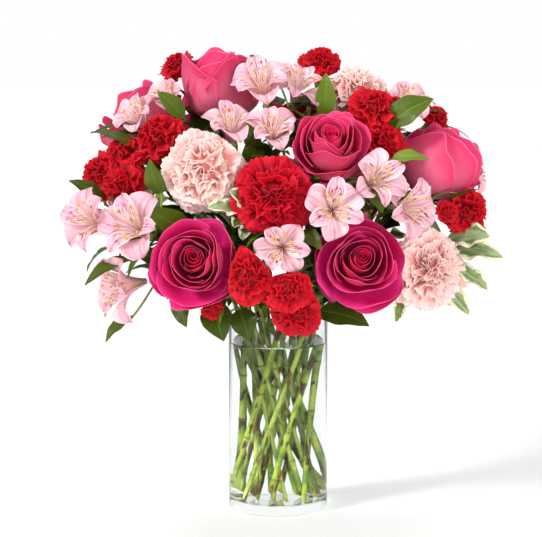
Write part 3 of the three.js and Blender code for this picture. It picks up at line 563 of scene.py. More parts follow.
class Piece:
    """One mesh, grown from sheets and closed rings. Each vertex keeps two rows of numbers for its
    material: `shape`, which is (across, along, face), and `chance`, which is (draw, layer, kind)."""

    def __init__(self):
        self.points, self.quads, self.shape, self.chance, self.slots = [], [], [], [], []
        self.count = 0

    def add(self, points, quads, shape, chance, slot=0):
        points = np.reshape(points, (-1, 3))
        self.points.append(points)
        self.quads.append(quads + self.count)
        self.shape.append(np.reshape(shape, (-1, 3)))
        self.chance.append(np.broadcast_to(np.asarray(chance, float), points.shape))
        self.slots.append(np.full(len(quads), slot))
        self.count += len(points)

    def sheet(self, grid, thickness, across, along, chance):
        """A thin closed sheet round a grid of points[row][column]."""
        rows, columns = grid.shape[:2]
        total = rows * columns
        shift = unit(np.cross(np.gradient(grid, axis=1), np.gradient(grid, axis=0))) * thickness / 2
        number = np.arange(total).reshape(rows, columns)
        corners = number[:-1, :-1], number[:-1, 1:], number[1:, 1:], number[1:, :-1]
        front = np.stack(corners, -1).reshape(-1, 4)
        rim = np.concatenate([number[0, :], number[1:, -1], number[-1, -2::-1], number[-2:0:-1, 0]])
        ahead = np.roll(rim, -1)
        quads = np.concatenate([
            front,
            front[:, [0, 3, 2, 1]] + total,
            np.stack([rim, rim + total, ahead + total, ahead], 1),
        ])
        faces = np.array([1.0, -1.0])[:, None, None]
        shape = np.stack(np.broadcast_arrays(across, along, faces), -1)
        self.add([grid + shift, grid - shift], quads, shape, chance)

    def rings(self, grid, along, chance, slot=0):
        """A closed solid through rings of points[ring][side], with a flat cap at each end. Along and
        chance hold for the whole solid or for each ring."""
        rows, sides = grid.shape[:2]
        number = np.arange(rows * sides).reshape(rows, sides)
        ahead = np.roll(number, -1, axis=1)
        wall = np.stack([number[:-1], ahead[:-1], ahead[1:], number[1:]], -1).reshape(-1, 4)
        k = np.arange(sides // 2 - 1)
        cap = np.stack([k, k + 1, sides - 2 - k, sides - 1 - k], 1)
        quads = np.vstack([wall, number[0][cap[:, ::-1]], number[-1][cap]])
        across = np.arange(sides) * 2 / sides - 1
        shape = np.stack(np.broadcast_arrays(across, np.reshape(along, (-1, 1)), number * 0 + 1.0), -1)
        chance = np.broadcast_to(np.asarray(chance, float)[..., None, :], grid.shape)
        self.add(grid, quads, shape, chance.reshape(-1, 3), slot)

    def tube(self, points, headings, radii, sides, along, chance, slot=0, cut=0.0):
        """A closed tube along a line. Cut slants its first end by a share of its radius."""
        side = unit(np.cross(headings[0], (0.31, 0.87, 0.4)))
        sides_of = [side]
        for heading in headings[1:]:
            side = unit(side - heading * (side @ heading))
            sides_of.append(side)
        sides_of = np.array(sides_of)[:, None]
        others = np.cross(headings, sides_of[:, 0])[:, None]
        angles = np.linspace(0, 2 * math.pi, sides, endpoint=False)[:, None]
        ring = sides_of * np.cos(angles) + others * np.sin(angles)
        body = points[:, None] + ring * np.asarray(radii)[:, None, None]
        body[0] += headings[0] * radii[0] * cut * np.cos(angles)
        self.rings(body, along, chance, slot)

    def build(self, name, materials, slot, *nodes):
        """Makes the object, riding on the bouquet and standing for the given nodes."""
        mesh = bpy.data.meshes.new(name)
        mesh.from_pydata(np.vstack(self.points) * MM, [], np.vstack(self.quads))
        mesh.polygons.foreach_set("material_index", np.concatenate(self.slots))
        for attribute_name, rows in (("shape", self.shape), ("chance", self.chance)):
            attribute = mesh.attributes.new(attribute_name, "FLOAT_VECTOR", "POINT")
            attribute.data.foreach_set("vector", np.vstack(rows).astype(np.float32).ravel())
        mesh.validate()
        mesh.shade_smooth()
        mesh.set_sharp_from_angle(angle=SHARP)
        for material in materials:
            mesh.materials.append(material)
        obj = add_object(name, mesh)
        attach(obj, "root")
        if nodes:
            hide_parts(*nodes)


# ---- rose

PETAL_THICKNESS = 0.45
ROSE_THICKNESS = 0.32

# Rings of a rose's petals from the heart outwards, opened or still a goblet. A row says how many
# petals, how far each spreads to both sides in degrees, how far its rim rolls back, and the curve of
# its middle line: foot, two handles and lip, as (radius, height).
ROSE_FORMS = dict(
    open=[
        (1, 250, 0.00, (0.02, -0.50), (0.04, -0.10), (0.035, 0.10), (0.03, 0.20)),
        (2, 118, 0.00, (0.04, -0.50), (0.10, -0.20), (0.090, 0.15), (0.075, 0.25)),
        (2, 124, 0.01, (0.04, -0.50), (0.15, -0.20), (0.135, 0.15), (0.115, 0.30)),
        (3, 92, 0.02, (0.05, -0.50), (0.21, -0.25), (0.190, 0.15), (0.165, 0.33)),
        (3, 90, 0.03, (0.05, -0.55), (0.28, -0.35), (0.260, 0.15), (0.225, 0.36)),
        (3, 84, 0.07, (0.06, -0.60), (0.44, -0.45), (0.420, 0.15), (0.340, 0.48)),
        (3, 82, 0.10, (0.06, -0.62), (0.54, -0.50), (0.530, 0.10), (0.440, 0.47)),
        (3, 80, 0.14, (0.06, -0.64), (0.64, -0.55), (0.640, 0.05), (0.550, 0.41)),
        (3, 74, 0.20, (0.06, -0.70), (0.80, -0.66), (0.860, -0.25), (0.84, 0.17)),
        (3, 62, 0.22, (0.07, -0.74), (0.86, -0.84), (0.950, -0.45), (0.95, -0.04)),
    ],
    goblet=[
        (1, 250, 0.00, (0.02, -0.50), (0.06, 0.00), (0.05, 0.40), (0.04, 0.54)),
        (2, 120, 0.00, (0.04, -0.50), (0.16, 0.00), (0.14, 0.40), (0.11, 0.59)),
        (3, 92, 0.01, (0.05, -0.55), (0.30, -0.20), (0.26, 0.35), (0.20, 0.63)),
        (3, 88, 0.04, (0.06, -0.60), (0.46, -0.35), (0.40, 0.30), (0.31, 0.68)),
        (3, 84, 0.09, (0.06, -0.64), (0.66, -0.50), (0.58, 0.20), (0.45, 0.72)),
        (3, 78, 0.20, (0.07, -0.68), (0.85, -0.60), (0.78, 0.10), (0.62, 0.72)),
        (3, 66, 0.20, (0.07, -0.72), (0.98, -0.72), (0.90, 0.00), (0.76, 0.62)),
        (2, 52, 0.16, (0.07, -0.74), (1.00, -0.82), (0.98, -0.20), (0.90, 0.42)),
    ],
)
ROSE_SIDES = dict(open=-0.20, goblet=0.12)  # how far an outer petal's sides stand out, or tuck in
ROSE_TIP = dict(open=0.16, goblet=0.06)  # how much longer an outer petal is at its point
TIP_WIDTH = 0.28  # of that point, as a share of the half width
ROSE_TURN = 137.5  # degrees from one ring's first petal to the next ring's
ROSE_GRID = (21, 18)
ROLLED_TO = 0.7  # how far to its sides a rim rolls back ever more
ROLLED_FROM = 0.55  # share of a petal's length at which its roll starts
ROSE_WAVE, ROSE_FRILL = 0.085, 0.02  # heights of an outer rim's long and short waves
ROSE_LEAN = 0.17  # how far the heart stands from the middle
COOLER_BELOW = 300  # roses whose hearts are lower than this are more purple


def rose_petals(piece, bloom):
    rng = np.random.default_rng(bloom.seed)
    u, v = grid_of(*ROSE_GRID)
    form = bloom.stem.form
    rings = ROSE_FORMS[form]
    upwards = bloom.rotation.T @ np.array([0, 0, 1.0])
    leaning = math.atan2(upwards[1], upwards[0]) + 0.6 * rng.uniform(-1, 1)
    for layer, (petals, spread, roll, *line) in enumerate(rings):
        outer = layer / (len(rings) - 1)
        aside = spun((1 - outer) * ROSE_LEAN * v, leaning, 0)
        for k in range(petals):
            jitter, size, lift, rolling, wave, spiral, notch = rng.uniform(-1, 1, 7)
            middle = math.radians(ROSE_TURN * layer + 360 * k / petals + 18 * jitter * outer)
            off = abs(u - 0.3 * notch)
            corner = (0.12 + 0.24 * outer) * abs(u) ** 2.4
            point = ROSE_TIP[form] * np.exp(-((off / TIP_WIDTH) ** 2)) * outer
            profile = cubic(line, v * (1 - corner + point))
            angle = middle + u * math.radians(spread) * (0.5 + 0.5 * ease(v / 0.5))
            rim = np.clip((v - ROLLED_FROM) / (1 - ROLLED_FROM), 0, 1)
            rolled = roll * (0.4 + np.minimum(off, ROLLED_TO) ** 1.3) * (1 + 0.4 * rolling)
            swell = 1 + (0.11 + 0.05 * spiral) * u + 0.12 * size * outer * v
            swell = swell + ROSE_SIDES[form] * outer * abs(u) ** 4 * v
            ripple = ROSE_WAVE * outer * v**3 * np.sin(2.1 * math.pi * u + 3 * wave)
            ripple = ripple + ROSE_FRILL * outer * v**5 * np.sin(13 * u + 9 * wave)
            radius = profile[..., 0] * swell + rolled * rim**2
            height = profile[..., 1] - 0.8 * rolled * rim**2.6 + ripple + 0.09 * lift * (0.3 + outer) * v
            chance = (rng.uniform(), outer, bloom.at[2] < COOLER_BELOW)
            piece.sheet(place(bloom, spun(radius, angle, height) + aside), ROSE_THICKNESS, u, v, chance)


# ---- carnations

GOLDEN = math.pi * (3 - math.sqrt(5))
CARNATIONS = dict(
    carnation=Row(petals=66, grid=(37, 9), spread=0.48, wave=0.125, waves=4.5, teeth=9),
    mini=Row(petals=38, grid=(23, 7), spread=0.52, wave=0.13, waves=4.2, teeth=5),
)
LARGEST_BUD = 14  # heads up to this radius have half the petals
OUTERMOST = 1.9  # polar angle of the last petals, in radians
SKIRT_FROM, SKIRT_TO = 0.95, 1.25  # between these polar angles petals come to lie flat, like a skirt
DOME, SKIRT = 0.70, 0.32  # the dome's radius, and how much further the skirt reaches
UNEVEN = 0.17  # how far the skirt is from round
PETAL_FOOT = 0.3  # how far from the head's middle a petal starts
HEART_RADIUS = 0.5  # of the heart that closes a head from within
HEART_RINGS, HEART_SIDES = 9, 12


def carnation_petals(piece, bloom):
    rng = np.random.default_rng(bloom.seed)
    form = CARNATIONS[bloom.kind]
    count = form.petals if bloom.radius > LARGEST_BUD else form.petals // 2
    u, v = grid_of(*form.grid)
    teeth = abs(((u + 1) * form.teeth / 2) % 1 - 0.5) * 2
    lopsided, second_lobe = rng.uniform(0, 2 * math.pi, 2)
    for i in range(count):
        share = (i + 0.5) / count
        polar = math.acos(1 - share * (1 - math.cos(OUTERMOST))) + 0.07 * rng.uniform(-1, 1)
        azimuth = i * GOLDEN + 0.25 * rng.uniform(-1, 1)
        skirt = float(ease((polar - SKIRT_FROM) / (SKIRT_TO - SKIRT_FROM)))
        out = spun(math.sin(polar), azimuth, math.cos(polar))
        level = spun(0, azimuth, 0, 1)
        twist = rng.uniform(-1, 1) * (1.45 * (1 - share) ** 0.7 * (1 - skirt) + 0.22)
        side = level * math.cos(twist) + np.cross(out, level) * math.sin(twist)
        lobe = math.sin(azimuth + lopsided) + math.sin(3 * azimuth + second_lobe)
        tip = DOME + SKIRT * skirt + 0.5 * UNEVEN * lobe * share + 0.09 * rng.uniform(-1, 1)
        angle = u * form.spread * (1 + 0.2 * skirt)
        fan = out * np.cos(angle)[..., None] + side * np.sin(angle)[..., None]
        length = tip * (1 - 0.10 * u**2 + 0.065 * v**4 * (teeth - 0.5))
        along = PETAL_FOOT + (length - PETAL_FOOT) * v
        first, second, third = rng.uniform(0, 2 * math.pi, 3)
        wave = np.sin(form.waves * u + first) + 0.5 * np.sin(2.3 * form.waves * u + second)
        wave = wave + 0.22 * np.sin(4.1 * form.waves * u + third)
        offset = form.wave * (1 - 0.25 * skirt) * v**1.3 * wave
        offset = offset - 0.16 * (0.3 + share) * v**2.2 * (1 - 0.6 * skirt)
        grid = fan * along[..., None] + np.cross(out, side) * offset[..., None]
        grid[..., 2] -= 0.10 * skirt * v**2
        chance = (rng.uniform(), share, 0)
        piece.sheet(place(bloom, grid), PETAL_THICKNESS, u, v, chance)
    # The crowded petals' feet close the head from within.
    t = np.linspace(-0.98, 0.98, HEART_RINGS)
    middle = bloom.at + bloom.axis * (HEART_RADIUS * t)[:, None] * bloom.radius
    radii = HEART_RADIUS * bloom.radius * np.sqrt(1 - t**2)
    piece.tube(middle, np.tile(bloom.axis, (HEART_RINGS, 1)), radii, HEART_SIDES, 0.2, (0.5, 0.5, 0))


# ---- Peruvian lily

# Two whorls of three petals. Middle lines are curves of (radius, height), as for the rose.
LILY_WHORLS = [
    Row(line=((0.05, -0.62), (0.16, -0.02), (0.52, 0.28), (1.0, 0.26)), width=0.39, turn=30),
    Row(line=((0.04, -0.60), (0.12, 0.12), (0.40, 0.46), (0.86, 0.50)), width=0.26, turn=90),
]
LILY_GRID = (15, 18)
BROADEST = 0.64  # share of a petal's length
STAMENS = 6
FILAMENT, ANTHER = 0.45, 1.25  # radii
FILAMENT_RINGS, ANTHER_RINGS = 7, 6


def lily_width(v):
    """Half width along a petal: a narrow claw, a broad blade and a short point."""
    claw = 0.16 + 0.84 * ease(v / BROADEST)
    end = np.sqrt(np.clip(1 - (np.clip(v - BROADEST, 0, 1) / (1 - BROADEST)) ** 1.7, 0, 1))
    return claw * (0.04 + 0.96 * end)


def lily_petals(piece, bloom):
    rng = np.random.default_rng(bloom.seed)
    u, v = grid_of(*LILY_GRID)
    for order, whorl in enumerate(LILY_WHORLS):
        for k in range(3):
            jitter, lift, open_out, wave, curl, size = rng.uniform(-1, 1, 6)
            angle = math.radians(whorl.turn + 120 * k + 8 * jitter)
            line = cubic(whorl.line, v)
            half = whorl.width * lily_width(v) * (1 + 0.1 * size)
            turned = 0.35 * curl * v
            across = u * half * np.cos(turned)
            trough = 2.4 * across**2 * (1 - 0.55 * v) - 0.04 * np.exp(-((u / 0.2) ** 2)) * v
            ripple = 0.035 * np.sin(7 * v + 3 * wave + 2 * u) + 0.015 * np.sin(17 * v + 5 * wave)
            ripple = ripple * abs(u) ** 1.5 * v
            tip = -0.14 * np.clip((v - 0.75) / 0.25, 0, 1) ** 2
            lifted = (0.09 * lift - 0.07 * open_out) * v**2 + tip
            height = line[..., 1] + trough + ripple + lifted + u * half * np.sin(turned)
            grid = spun(line[..., 0] * (1 + 0.06 * open_out * v), angle, height, across)
            piece.sheet(place(bloom, grid), PETAL_THICKNESS, u, v, (rng.uniform(), order, k))
    for k in range(STAMENS):
        angle = math.radians(360 / STAMENS * k + 20 * rng.uniform(-1, 1))
        reach, rise = rng.uniform(0.22, 0.42), rng.uniform(0.36, 0.50)
        t = np.linspace(0, 1, FILAMENT_RINGS)
        line = cubic(((0.03, -0.5), (0.06, 0.0), (reach * 0.6, rise * 0.7), (reach, rise)), t)
        points = place(bloom, spun(line[:, 0], angle, line[:, 1]))
        headings = unit(np.gradient(points, axis=0))
        radii = np.full(FILAMENT_RINGS, FILAMENT)
        piece.tube(points, headings, radii, 6, t, (rng.uniform(), 0, 0), slot=1)
        bead = points[-1] + headings[-1] * np.linspace(-1.2, 2.2, ANTHER_RINGS)[:, None]
        radii = ANTHER * np.sqrt(1 - np.linspace(-0.95, 0.95, ANTHER_RINGS) ** 2)
        headings = np.tile(headings[-1], (ANTHER_RINGS, 1))
        piece.tube(bead, headings, radii, 8, 1, (rng.uniform(), 1, 0), slot=1)


PETALS_OF = dict(rose=rose_petals, carnation=carnation_petals, mini=carnation_petals, lily=lily_petals)

# ---- leaves

LEAF_GRID = (9, 17)
LEAF_THICKNESS = 0.5
LEAF_ARCH = 0.12  # rise of the middle, as a share of the length
LEAF_FOLD = 0.25  # rise of the edges, as a share of the half width
LEAF_POINT = 0.25  # half width of the tip
LEAF_WAVE = dict(rose=0.04, shrub=0.16, lily=0.05)  # of the edges, as a share of the width
TEETH = 15  # along each side of a rose's leaf


def leaf_blade(piece, plan, kind, rng):
    u, v = grid_of(*LEAF_GRID)
    along = plan.tip - plan.base
    length = np.linalg.norm(along)
    side = unit(np.cross(direction(*plan.faces), along))
    up = unit(np.cross(along, side))
    outline = arch(v**1.1) ** 0.75 if kind == "shrub" else arch(v**0.8)
    half = plan.width / 2 * outline + LEAF_POINT
    if kind == "rose":
        half = half * (1 + 0.10 * (abs((v * TEETH) % 1 - 0.5) - 0.25))
    start, turn = rng.uniform(0, 2 * math.pi), 0.5 * rng.uniform(-1, 1) * v
    ripple = LEAF_WAVE.get(kind, 0) * plan.width * np.sin(15 * v + start) * u**2 * np.sin(math.pi * v)
    rise = LEAF_ARCH * length * arch(v) + abs(u) * half * LEAF_FOLD + ripple
    across = u * half
    grid = (
        plan.base
        + along * v[..., None]
        + side * (across * np.cos(turn))[..., None]
        + up * (rise + across * np.sin(turn))[..., None]
    )
    piece.sheet(grid, LEAF_THICKNESS, u, v, (rng.uniform(), 0 if kind == "rose" else 1, 0))


# Leaves that fill the bouquet grow from the stems and twigs between the vase's mouth and the heads.
FILL_STEP = 10  # along a stem
ROUTE_STEP = 6  # between the points of a stem that are looked at
FILL_TRIES = 7  # to find a way that is clear of the heads
FILL_LENGTH = dict(rose=50, lily=54, carnation=56, mini=44, shrub=32)
FILL_WIDTH = dict(rose=25, lily=16, carnation=6, mini=5.5, shrub=19)
FILL_LOWEST = 208
CLEAR_OF_HEADS = 0.80  # share of a head's radius
CLEAR_ABOVE, CLEAR_BESIDE = 4, 3  # of the vase


def is_clear(point):
    if any(np.linalg.norm(bloom.at - point) < CLEAR_OF_HEADS * bloom.radius for bloom in HEADS):
        return False
    above = point[2] > VASE.height + CLEAR_ABOVE
    return above or math.hypot(point[0], point[1]) > VASE.radius + CLEAR_BESIDE


def filling_leaf(kind, point, heading, rng):
    """A plan of a leaf that faces outwards and up, or None where no way is found for it."""
    outward = unit(np.array([point[0], point[1], 12 * rng.uniform(-1, 1)]))
    sideways = np.cross(heading, outward)
    for _ in range(FILL_TRIES):
        spin, rise = rng.uniform(-1.6, 1.6), rng.uniform(-0.4, 0.3)
        lean = outward * math.cos(spin) + sideways * math.sin(spin)
        way = unit(lean + heading * rng.uniform(0.0, 0.8) + np.array([0, 0, rise]))
        length = FILL_LENGTH[kind] * rng.uniform(0.6, 1.15)
        if all(is_clear(point + way * length * share) for share in (0.4, 0.7, 1.0)):
            facing = unit(np.array([lean[0], lean[1], 1.2]) + 0.4 * rng.uniform(-1, 1, 3))
            azimuth = math.degrees(math.atan2(facing[0], -facing[1]))
            elevation = math.degrees(math.asin(facing[2]))
            width = FILL_WIDTH[kind] * rng.uniform(0.8, 1.15)
            return leaf(point, point + way * length, (azimuth, elevation), width)
    return None


def filling_leaves(plant, rng):
    """Plans of the leaves along a plant's stem and twigs."""
    plans = []
    for run in plant.runs:
        if run.leafstalk:
            continue
        points, headings, _, travelled = smooth_route(run, ROUTE_STEP)
        due = FILL_STEP * rng.uniform(0.2, 1)
        for point, heading, distance in zip(points, headings, travelled):
            if distance >= due and point[2] >= FILL_LOWEST:
                due = distance + FILL_STEP * rng.uniform(0.7, 1.3)
                plans.append(filling_leaf(plant.kind, point, heading, rng))
    return [plan for plan in plans if plan]


# ---- stems, cups and sepals

STEM_STEP = 2.5
STEM_SIDES, TWIG_SIDES, LEAFSTALK_SIDES = 14, 10, 8
NODE_EVERY = 50  # from one knot of a stem to the next
NODE_LENGTH = 2.6  # of the swelling to each side of a knot
SWELLINGS = dict(rose=0.14, carnation=0.34, mini=0.30, lily=0.0, shrub=0.12)  # of a stem at its knots
SLANT = 1.1  # of the cut ends


def grow_run(piece, run, rng):
    points, headings, radii, travelled = smooth_route(run, STEM_STEP)
    planted_here = is_planted(run)
    draw = rng.uniform()
    swelling = 0 if run.leafstalk else SWELLINGS[run.stem.kind]
    near = (travelled + NODE_EVERY * draw) % NODE_EVERY - NODE_EVERY / 2
    knot = np.exp(-((near / NODE_LENGTH) ** 2)) * bool(swelling)
    sides = LEAFSTALK_SIDES if run.leafstalk else STEM_SIDES if planted_here else TWIG_SIDES
    cut = SLANT * rng.uniform(0.6, 1) if planted_here else 0
    chance = np.stack(np.broadcast_arrays(draw, float(planted_here), knot), 1)
    piece.tube(points, headings, radii * (1 + swelling * knot), sides, travelled, chance, cut=cut)


CUP_PARTS = 5
CUP_GRID = (7, 9)
TOOTH_THICKNESS, SEPAL_THICKNESS = 0.5, 0.6


def cup_teeth(piece, bloom, rng):
    """The teeth round the top of the green tube under a carnation."""
    u, v = grid_of(*CUP_GRID)
    top = PLANTS[bloom.kind].cup[0] * bloom.radius
    seat = place(bloom, (0, 0, -PLANTS[bloom.kind].depth))
    for k in range(CUP_PARTS):
        angle = 2 * math.pi * k / CUP_PARTS + u * math.pi / CUP_PARTS * 1.05 * (1 - v**2)
        grid = spun(top * (0.96 + 0.18 * v), angle, top * (v - 0.15)) @ bloom.rotation.T + seat
        piece.sheet(grid, TOOTH_THICKNESS, u, v, (rng.uniform(), 0, 0))


def rose_sepals(piece, bloom, rng):
    u, v = grid_of(*CUP_GRID)
    for k in range(CUP_PARTS):
        angle = 2 * math.pi * (k + 0.3 * rng.uniform(-1, 1)) / CUP_PARTS
        tip = (0.62, -1.10 + 0.2 * rng.uniform(-1, 1))
        line = cubic(((0.10, -0.84), (0.30, -0.98), (0.48, -1.02), tip), v)
        across = u * 0.085 * (1 - v**1.5) + u * 0.01
        grid = spun(line[..., 0], angle, line[..., 1] + 0.03 * abs(u), across)
        grid = (grid * bloom.radius) @ bloom.rotation.T + bloom.at
        piece.sheet(grid, SEPAL_THICKNESS, u, v, (rng.uniform(), 0, 0))


CUPS_OF = dict(rose=rose_sepals, carnation=cup_teeth, mini=cup_teeth)

# ---- glass and water

LATHE_SIDES = 128
AXIS = 0.02  # radius of the small flat at the middle of the glass and the water
BITE = 0.12  # how far the water reaches into the glass, so that the two meet
CLIMB_WIDTH, CLIMB_HEIGHT = 3.2, 1.6  # of the water's edge, up the glass
CORNER_POINTS, CLIMB_POINTS = 6, 8


def lathe(outline):
    """A closed solid of revolution round Z, from an outline of (radius, height) off the axis."""
    angles = np.linspace(0, 2 * math.pi, LATHE_SIDES, endpoint=False)
    outline = np.array(outline, float)
    piece = Piece()
    piece.rings(spun(outline[:, :1], angles, outline[:, 1:]), outline[:, 1], (0, 0, 0))
    return piece


def rounded(corner, before, after, radius):
    """Points of a rounded corner in an outline, between the points before and after it."""
    corner, before, after = (np.array(p, float) for p in (corner, before, after))
    start = corner + unit(before - corner) * radius
    end = corner + unit(after - corner) * radius
    t = np.linspace(0, 1, CORNER_POINTS)[:, None]
    return list(start * (1 - t) ** 2 + 2 * corner * t * (1 - t) + end * t**2)


def vase_piece():
    radius, height, floor, edge = VASE.radius, VASE.height, VASE.floor, VASE.edge
    inner = radius - VASE.wall
    lip = VASE.wall / 2 - 0.1
    return lathe([
        (AXIS, 0),
        *rounded((radius, 0), (0, 0), (radius, height), edge),
        *rounded((radius, height), (radius, 0), (inner, height), lip),
        *rounded((inner, height), (radius, height), (inner, 0), lip),
        *rounded((inner, floor), (inner, height), (0, floor), edge * 2),
        (AXIS, floor),
    ])


def water_piece():
    """The water climbs the glass a little at its edge."""
    rim = VASE.radius - VASE.wall + BITE
    bottom = VASE.floor - BITE
    share = np.linspace(1, 0, CLIMB_POINTS)
    return lathe([
        (AXIS, bottom),
        *rounded((rim, bottom), (0, bottom), (rim, WATER_LEVEL), VASE.edge * 2),
        *zip(rim - CLIMB_WIDTH * (1 - share), WATER_LEVEL + CLIMB_HEIGHT * share**3),
        (AXIS, WATER_LEVEL),
    ])


# ---- materials


def rgb(code):
    """A colour as a screen shows it, in linear light."""
    parts = [int(code[i : i + 2], 16) / 255 for i in (1, 3, 5)]
    return tuple(p / 12.92 if p <= 0.04045 else ((p + 0.055) / 1.055) ** 2.4 for p in parts) + (1.0,)


class Nodes:
    """The nodes of a material or a world, from none. Numbers and colour codes are set on a node's own
    sockets, and sockets are linked."""

    def __init__(self, owner):
        self.owner = owner
        owner.use_nodes = True
        owner.node_tree.nodes.clear()

    def node(self, kind, inputs=(), **settings):
        """Adds a node, and gives its outputs."""
        node = self.owner.node_tree.nodes.new("ShaderNode" + kind)
        for key, value in settings.items():
            setattr(node, key, value)
        for key, value in dict(inputs).items():
            if isinstance(value, bpy.types.NodeSocket):
                self.owner.node_tree.links.new(value, node.inputs[key])
            else:
                node.inputs[key].default_value = rgb(value) if isinstance(value, str) else value
        return node.outputs

    def math(self, operation, a, b=0.0):
        return self.node("Math", {0: a, 1: b}, operation=operation)[0]

    def times(self, *factors):
        """The product of numbers, sockets and spans, which are given as (socket, low, high)."""
        factors = [self.span(*factor) if isinstance(factor, tuple) else factor for factor in factors]
        product = factors[0]
        for factor in factors[1:]:
            product = self.math("MULTIPLY", product, factor)
        return product

    def line(self, value, low, high):
        """Low where the value is 0, and high where it is 1."""
        return self.node("MapRange", {"Value": value, "To Min": low, "To Max": high})[0]

    def span(self, value, low, high):
        """0 where the value is at low, 1 at high, and smooth between."""
        inputs = {"Value": value, "From Min": low, "From Max": high}
        return self.node("MapRange", inputs, interpolation_type="SMOOTHSTEP")[0]

    def mix(self, share, a, b):
        return self.node("Mix", {0: share, 6: a, 7: b}, data_type="RGBA", clamp_factor=True)[2]


class Shader(Nodes):
    """A material's nodes. `colour` is what is painted so far, from white."""

    def __init__(self, name):
        super().__init__(bpy.data.materials.new(name))
        self.colour = rgb("#ffffff")
        self.across, self.along, self.face = self.row("shape")
        self.draw, self.layer, self.kind = self.row("chance")

    def row(self, name):
        vector = self.node("Attribute", attribute_name=name)["Vector"]
        return self.node("SeparateXYZ", {0: vector})

    def paint(self, colour, *shares):
        """Lays a colour on by the product of the shares."""
        self.colour = self.mix(self.times(*shares), self.colour, colour)

    def noise(self, vector, scale, detail):
        return self.node("TexNoise", {"Vector": vector, "Scale": scale, "Detail": detail})["Fac"]

    def streaks(self, across, along, detail=2, offset=17.0):
        """Noise that is stretched on a petal, leaf or stem, from another place in the pattern on each."""
        x, y = self.times(self.across, across), self.times(self.along, along)
        vector = self.node("CombineXYZ", {0: x, 1: y, 2: self.times(self.draw, offset)})[0]
        return self.noise(vector, 1.0, detail)

    def mottle(self, scale, detail=2):
        """Noise by place in the bouquet."""
        return self.noise(self.node("TexCoord")["Object"], scale, detail)

    def bump(self, height, strength, distance):
        return self.node("Bump", {"Height": height, "Strength": strength, "Distance": distance})[0]

    def output(self, surface):
        self.node("OutputMaterial", {0: surface})
        return self.owner

    def finish(self, roughness, bump=None, specular=0.5, through=0.0, glow=None):
        """Principled, with a share of the light passing through the blade and taking its glow."""
        inputs = {"Base Color": self.colour, "Roughness": roughness, "Specular IOR Level": specular}
        if bump:
            inputs["Normal"] = self.bump(*bump)
        surface = self.node("BsdfPrincipled", inputs)[0]
        if through:
            passing = self.node("BsdfTranslucent", {"Color": glow})[0]
            surface = self.node("MixShader", {0: through, 1: surface, 2: passing})[0]
        return self.output(surface)


def rose_material():
    """Layer runs from the heart to the outermost petals. The heart and the petals' feet are a darker
    crimson, partly the rose's own colour and partly painted shade in its depths. Kind 1 is more purple.
    """
    s = Shader("rose_petal")
    streaks, veins = s.streaks(8, 1.2, 3), s.streaks(36, 2)
    # Darker towards the heart and the petals' feet: partly the rose's own colour, partly painted shade.
    grown = s.span(s.layer, 0.1, 0.9)
    deep, full = s.mix(grown, "#7c041e", "#e22c74"), s.mix(grown, "#e01a4e", "#f4508e")
    s.colour = s.mix(s.span(s.along, 0.35, 0.95), deep, full)
    s.paint("#f0468c", (streaks, 0.35, 0.75), 0.35)
    s.paint("#f6249c", s.kind, (s.layer, 0.3, 0.9), 0.6)
    back = s.mix(s.span(s.along, 0.55, 1.0), "#e0708c", "#d03462")
    s.paint(back, (s.face, -0.5, 0.5), (s.layer, -0.1, 0.9), 0.85)
    # A painted highlight: a pale line along the rims of the middle and outer petals.
    s.paint("#f794ba", (s.along, 0.965, 1.0), (s.layer, 0.2, 0.8), 0.4)
    s.paint("#c01a5e", (veins, 0.5, 0.75), 0.22)
    return s.finish(s.line(streaks, 0.45, 0.62), (veins, 0.4, 0.0005), 0.2, 0.24, "#ff3c7c")


def carnation_material(name, heart, body, edge, glow, rim, through):
    s = Shader(name)
    streaks, fine = s.streaks(6, 1.5, 3), s.streaks(30, 3)
    # Deeper towards the petals' feet: partly own colour, partly painted shade between crowded petals.
    s.colour = s.mix(s.span(s.along, 0.35, 0.9), heart, body)
    s.paint(edge, (streaks, 0.35, 0.8), 0.5)
    # Paler rims: partly the petals' own edge colour, partly a painted highlight on the thin edges.
    s.paint(edge, (s.along, 0.88, 1.0), rim)
    return s.finish(s.line(streaks, 0.5, 0.7), (fine, 0.3, 0.0004), 0.25, through, glow)


def lily_material():
    """Layer 0 is the outer whorl of petals and 1 the inner."""
    s = Shader("lily_petal")
    lines, fine, dashes = s.streaks(10, 0.9), s.streaks(34, 1.6), s.streaks(13, 9, 0, 31.0)
    centre = s.math("SUBTRACT", 1.0, s.math("ABSOLUTE", s.across))
    s.colour = s.mix(s.span(lines, 0.38, 0.68), "#fdecef", "#efb0c4")
    s.paint("#eda6be", (s.along, 0.55, 0.95), 0.55)
    s.paint("#bf4a76", (fine, 0.56, 0.70), (s.along, 0.25, 0.6), 0.5)
    s.paint("#cf6d8c", (centre, 0.84, 1.0), (s.along, 0.3, 0.7), 0.6)
    s.paint("#fdf0f0", (centre, 0.25, 0.0), 0.5)
    # Greenish tips, which the outer petals show most.
    tip = s.times((s.along, 0.88, 0.98), (centre, 0.4, 0.85))
    s.paint("#8f9a4a", tip, s.line(s.layer, 0.85, 0.3))
    # The throat is creamy, and the inner petals carry dark dashes.
    s.paint("#faf0c8", (s.along, 0.66, 0.36), 0.8, s.layer)
    s.paint("#b9c07a", (s.along, 0.3, 0.05), 0.7)
    marked = s.times((dashes, 0.58, 0.63), (s.along, 0.28, 0.38), (s.along, 0.86, 0.72))
    s.paint("#7c1830", marked, s.layer, (centre, 0.12, 0.3))
    # Backs are deeper, with a green streak on the outer petals.
    back = s.span(s.face, -0.5, 0.5)
    s.paint("#e391ab", back, 0.35)
    streak = s.times((centre, 0.6, 0.95), (s.along, 0.4, 0.8))
    s.paint("#8b9440", streak, back, s.math("SUBTRACT", 1.0, s.layer), 0.65)
    return s.finish(s.line(fine, 0.4, 0.55), (fine, 0.3, 0.0004), 0.35, 0.34, "#fcd0da")


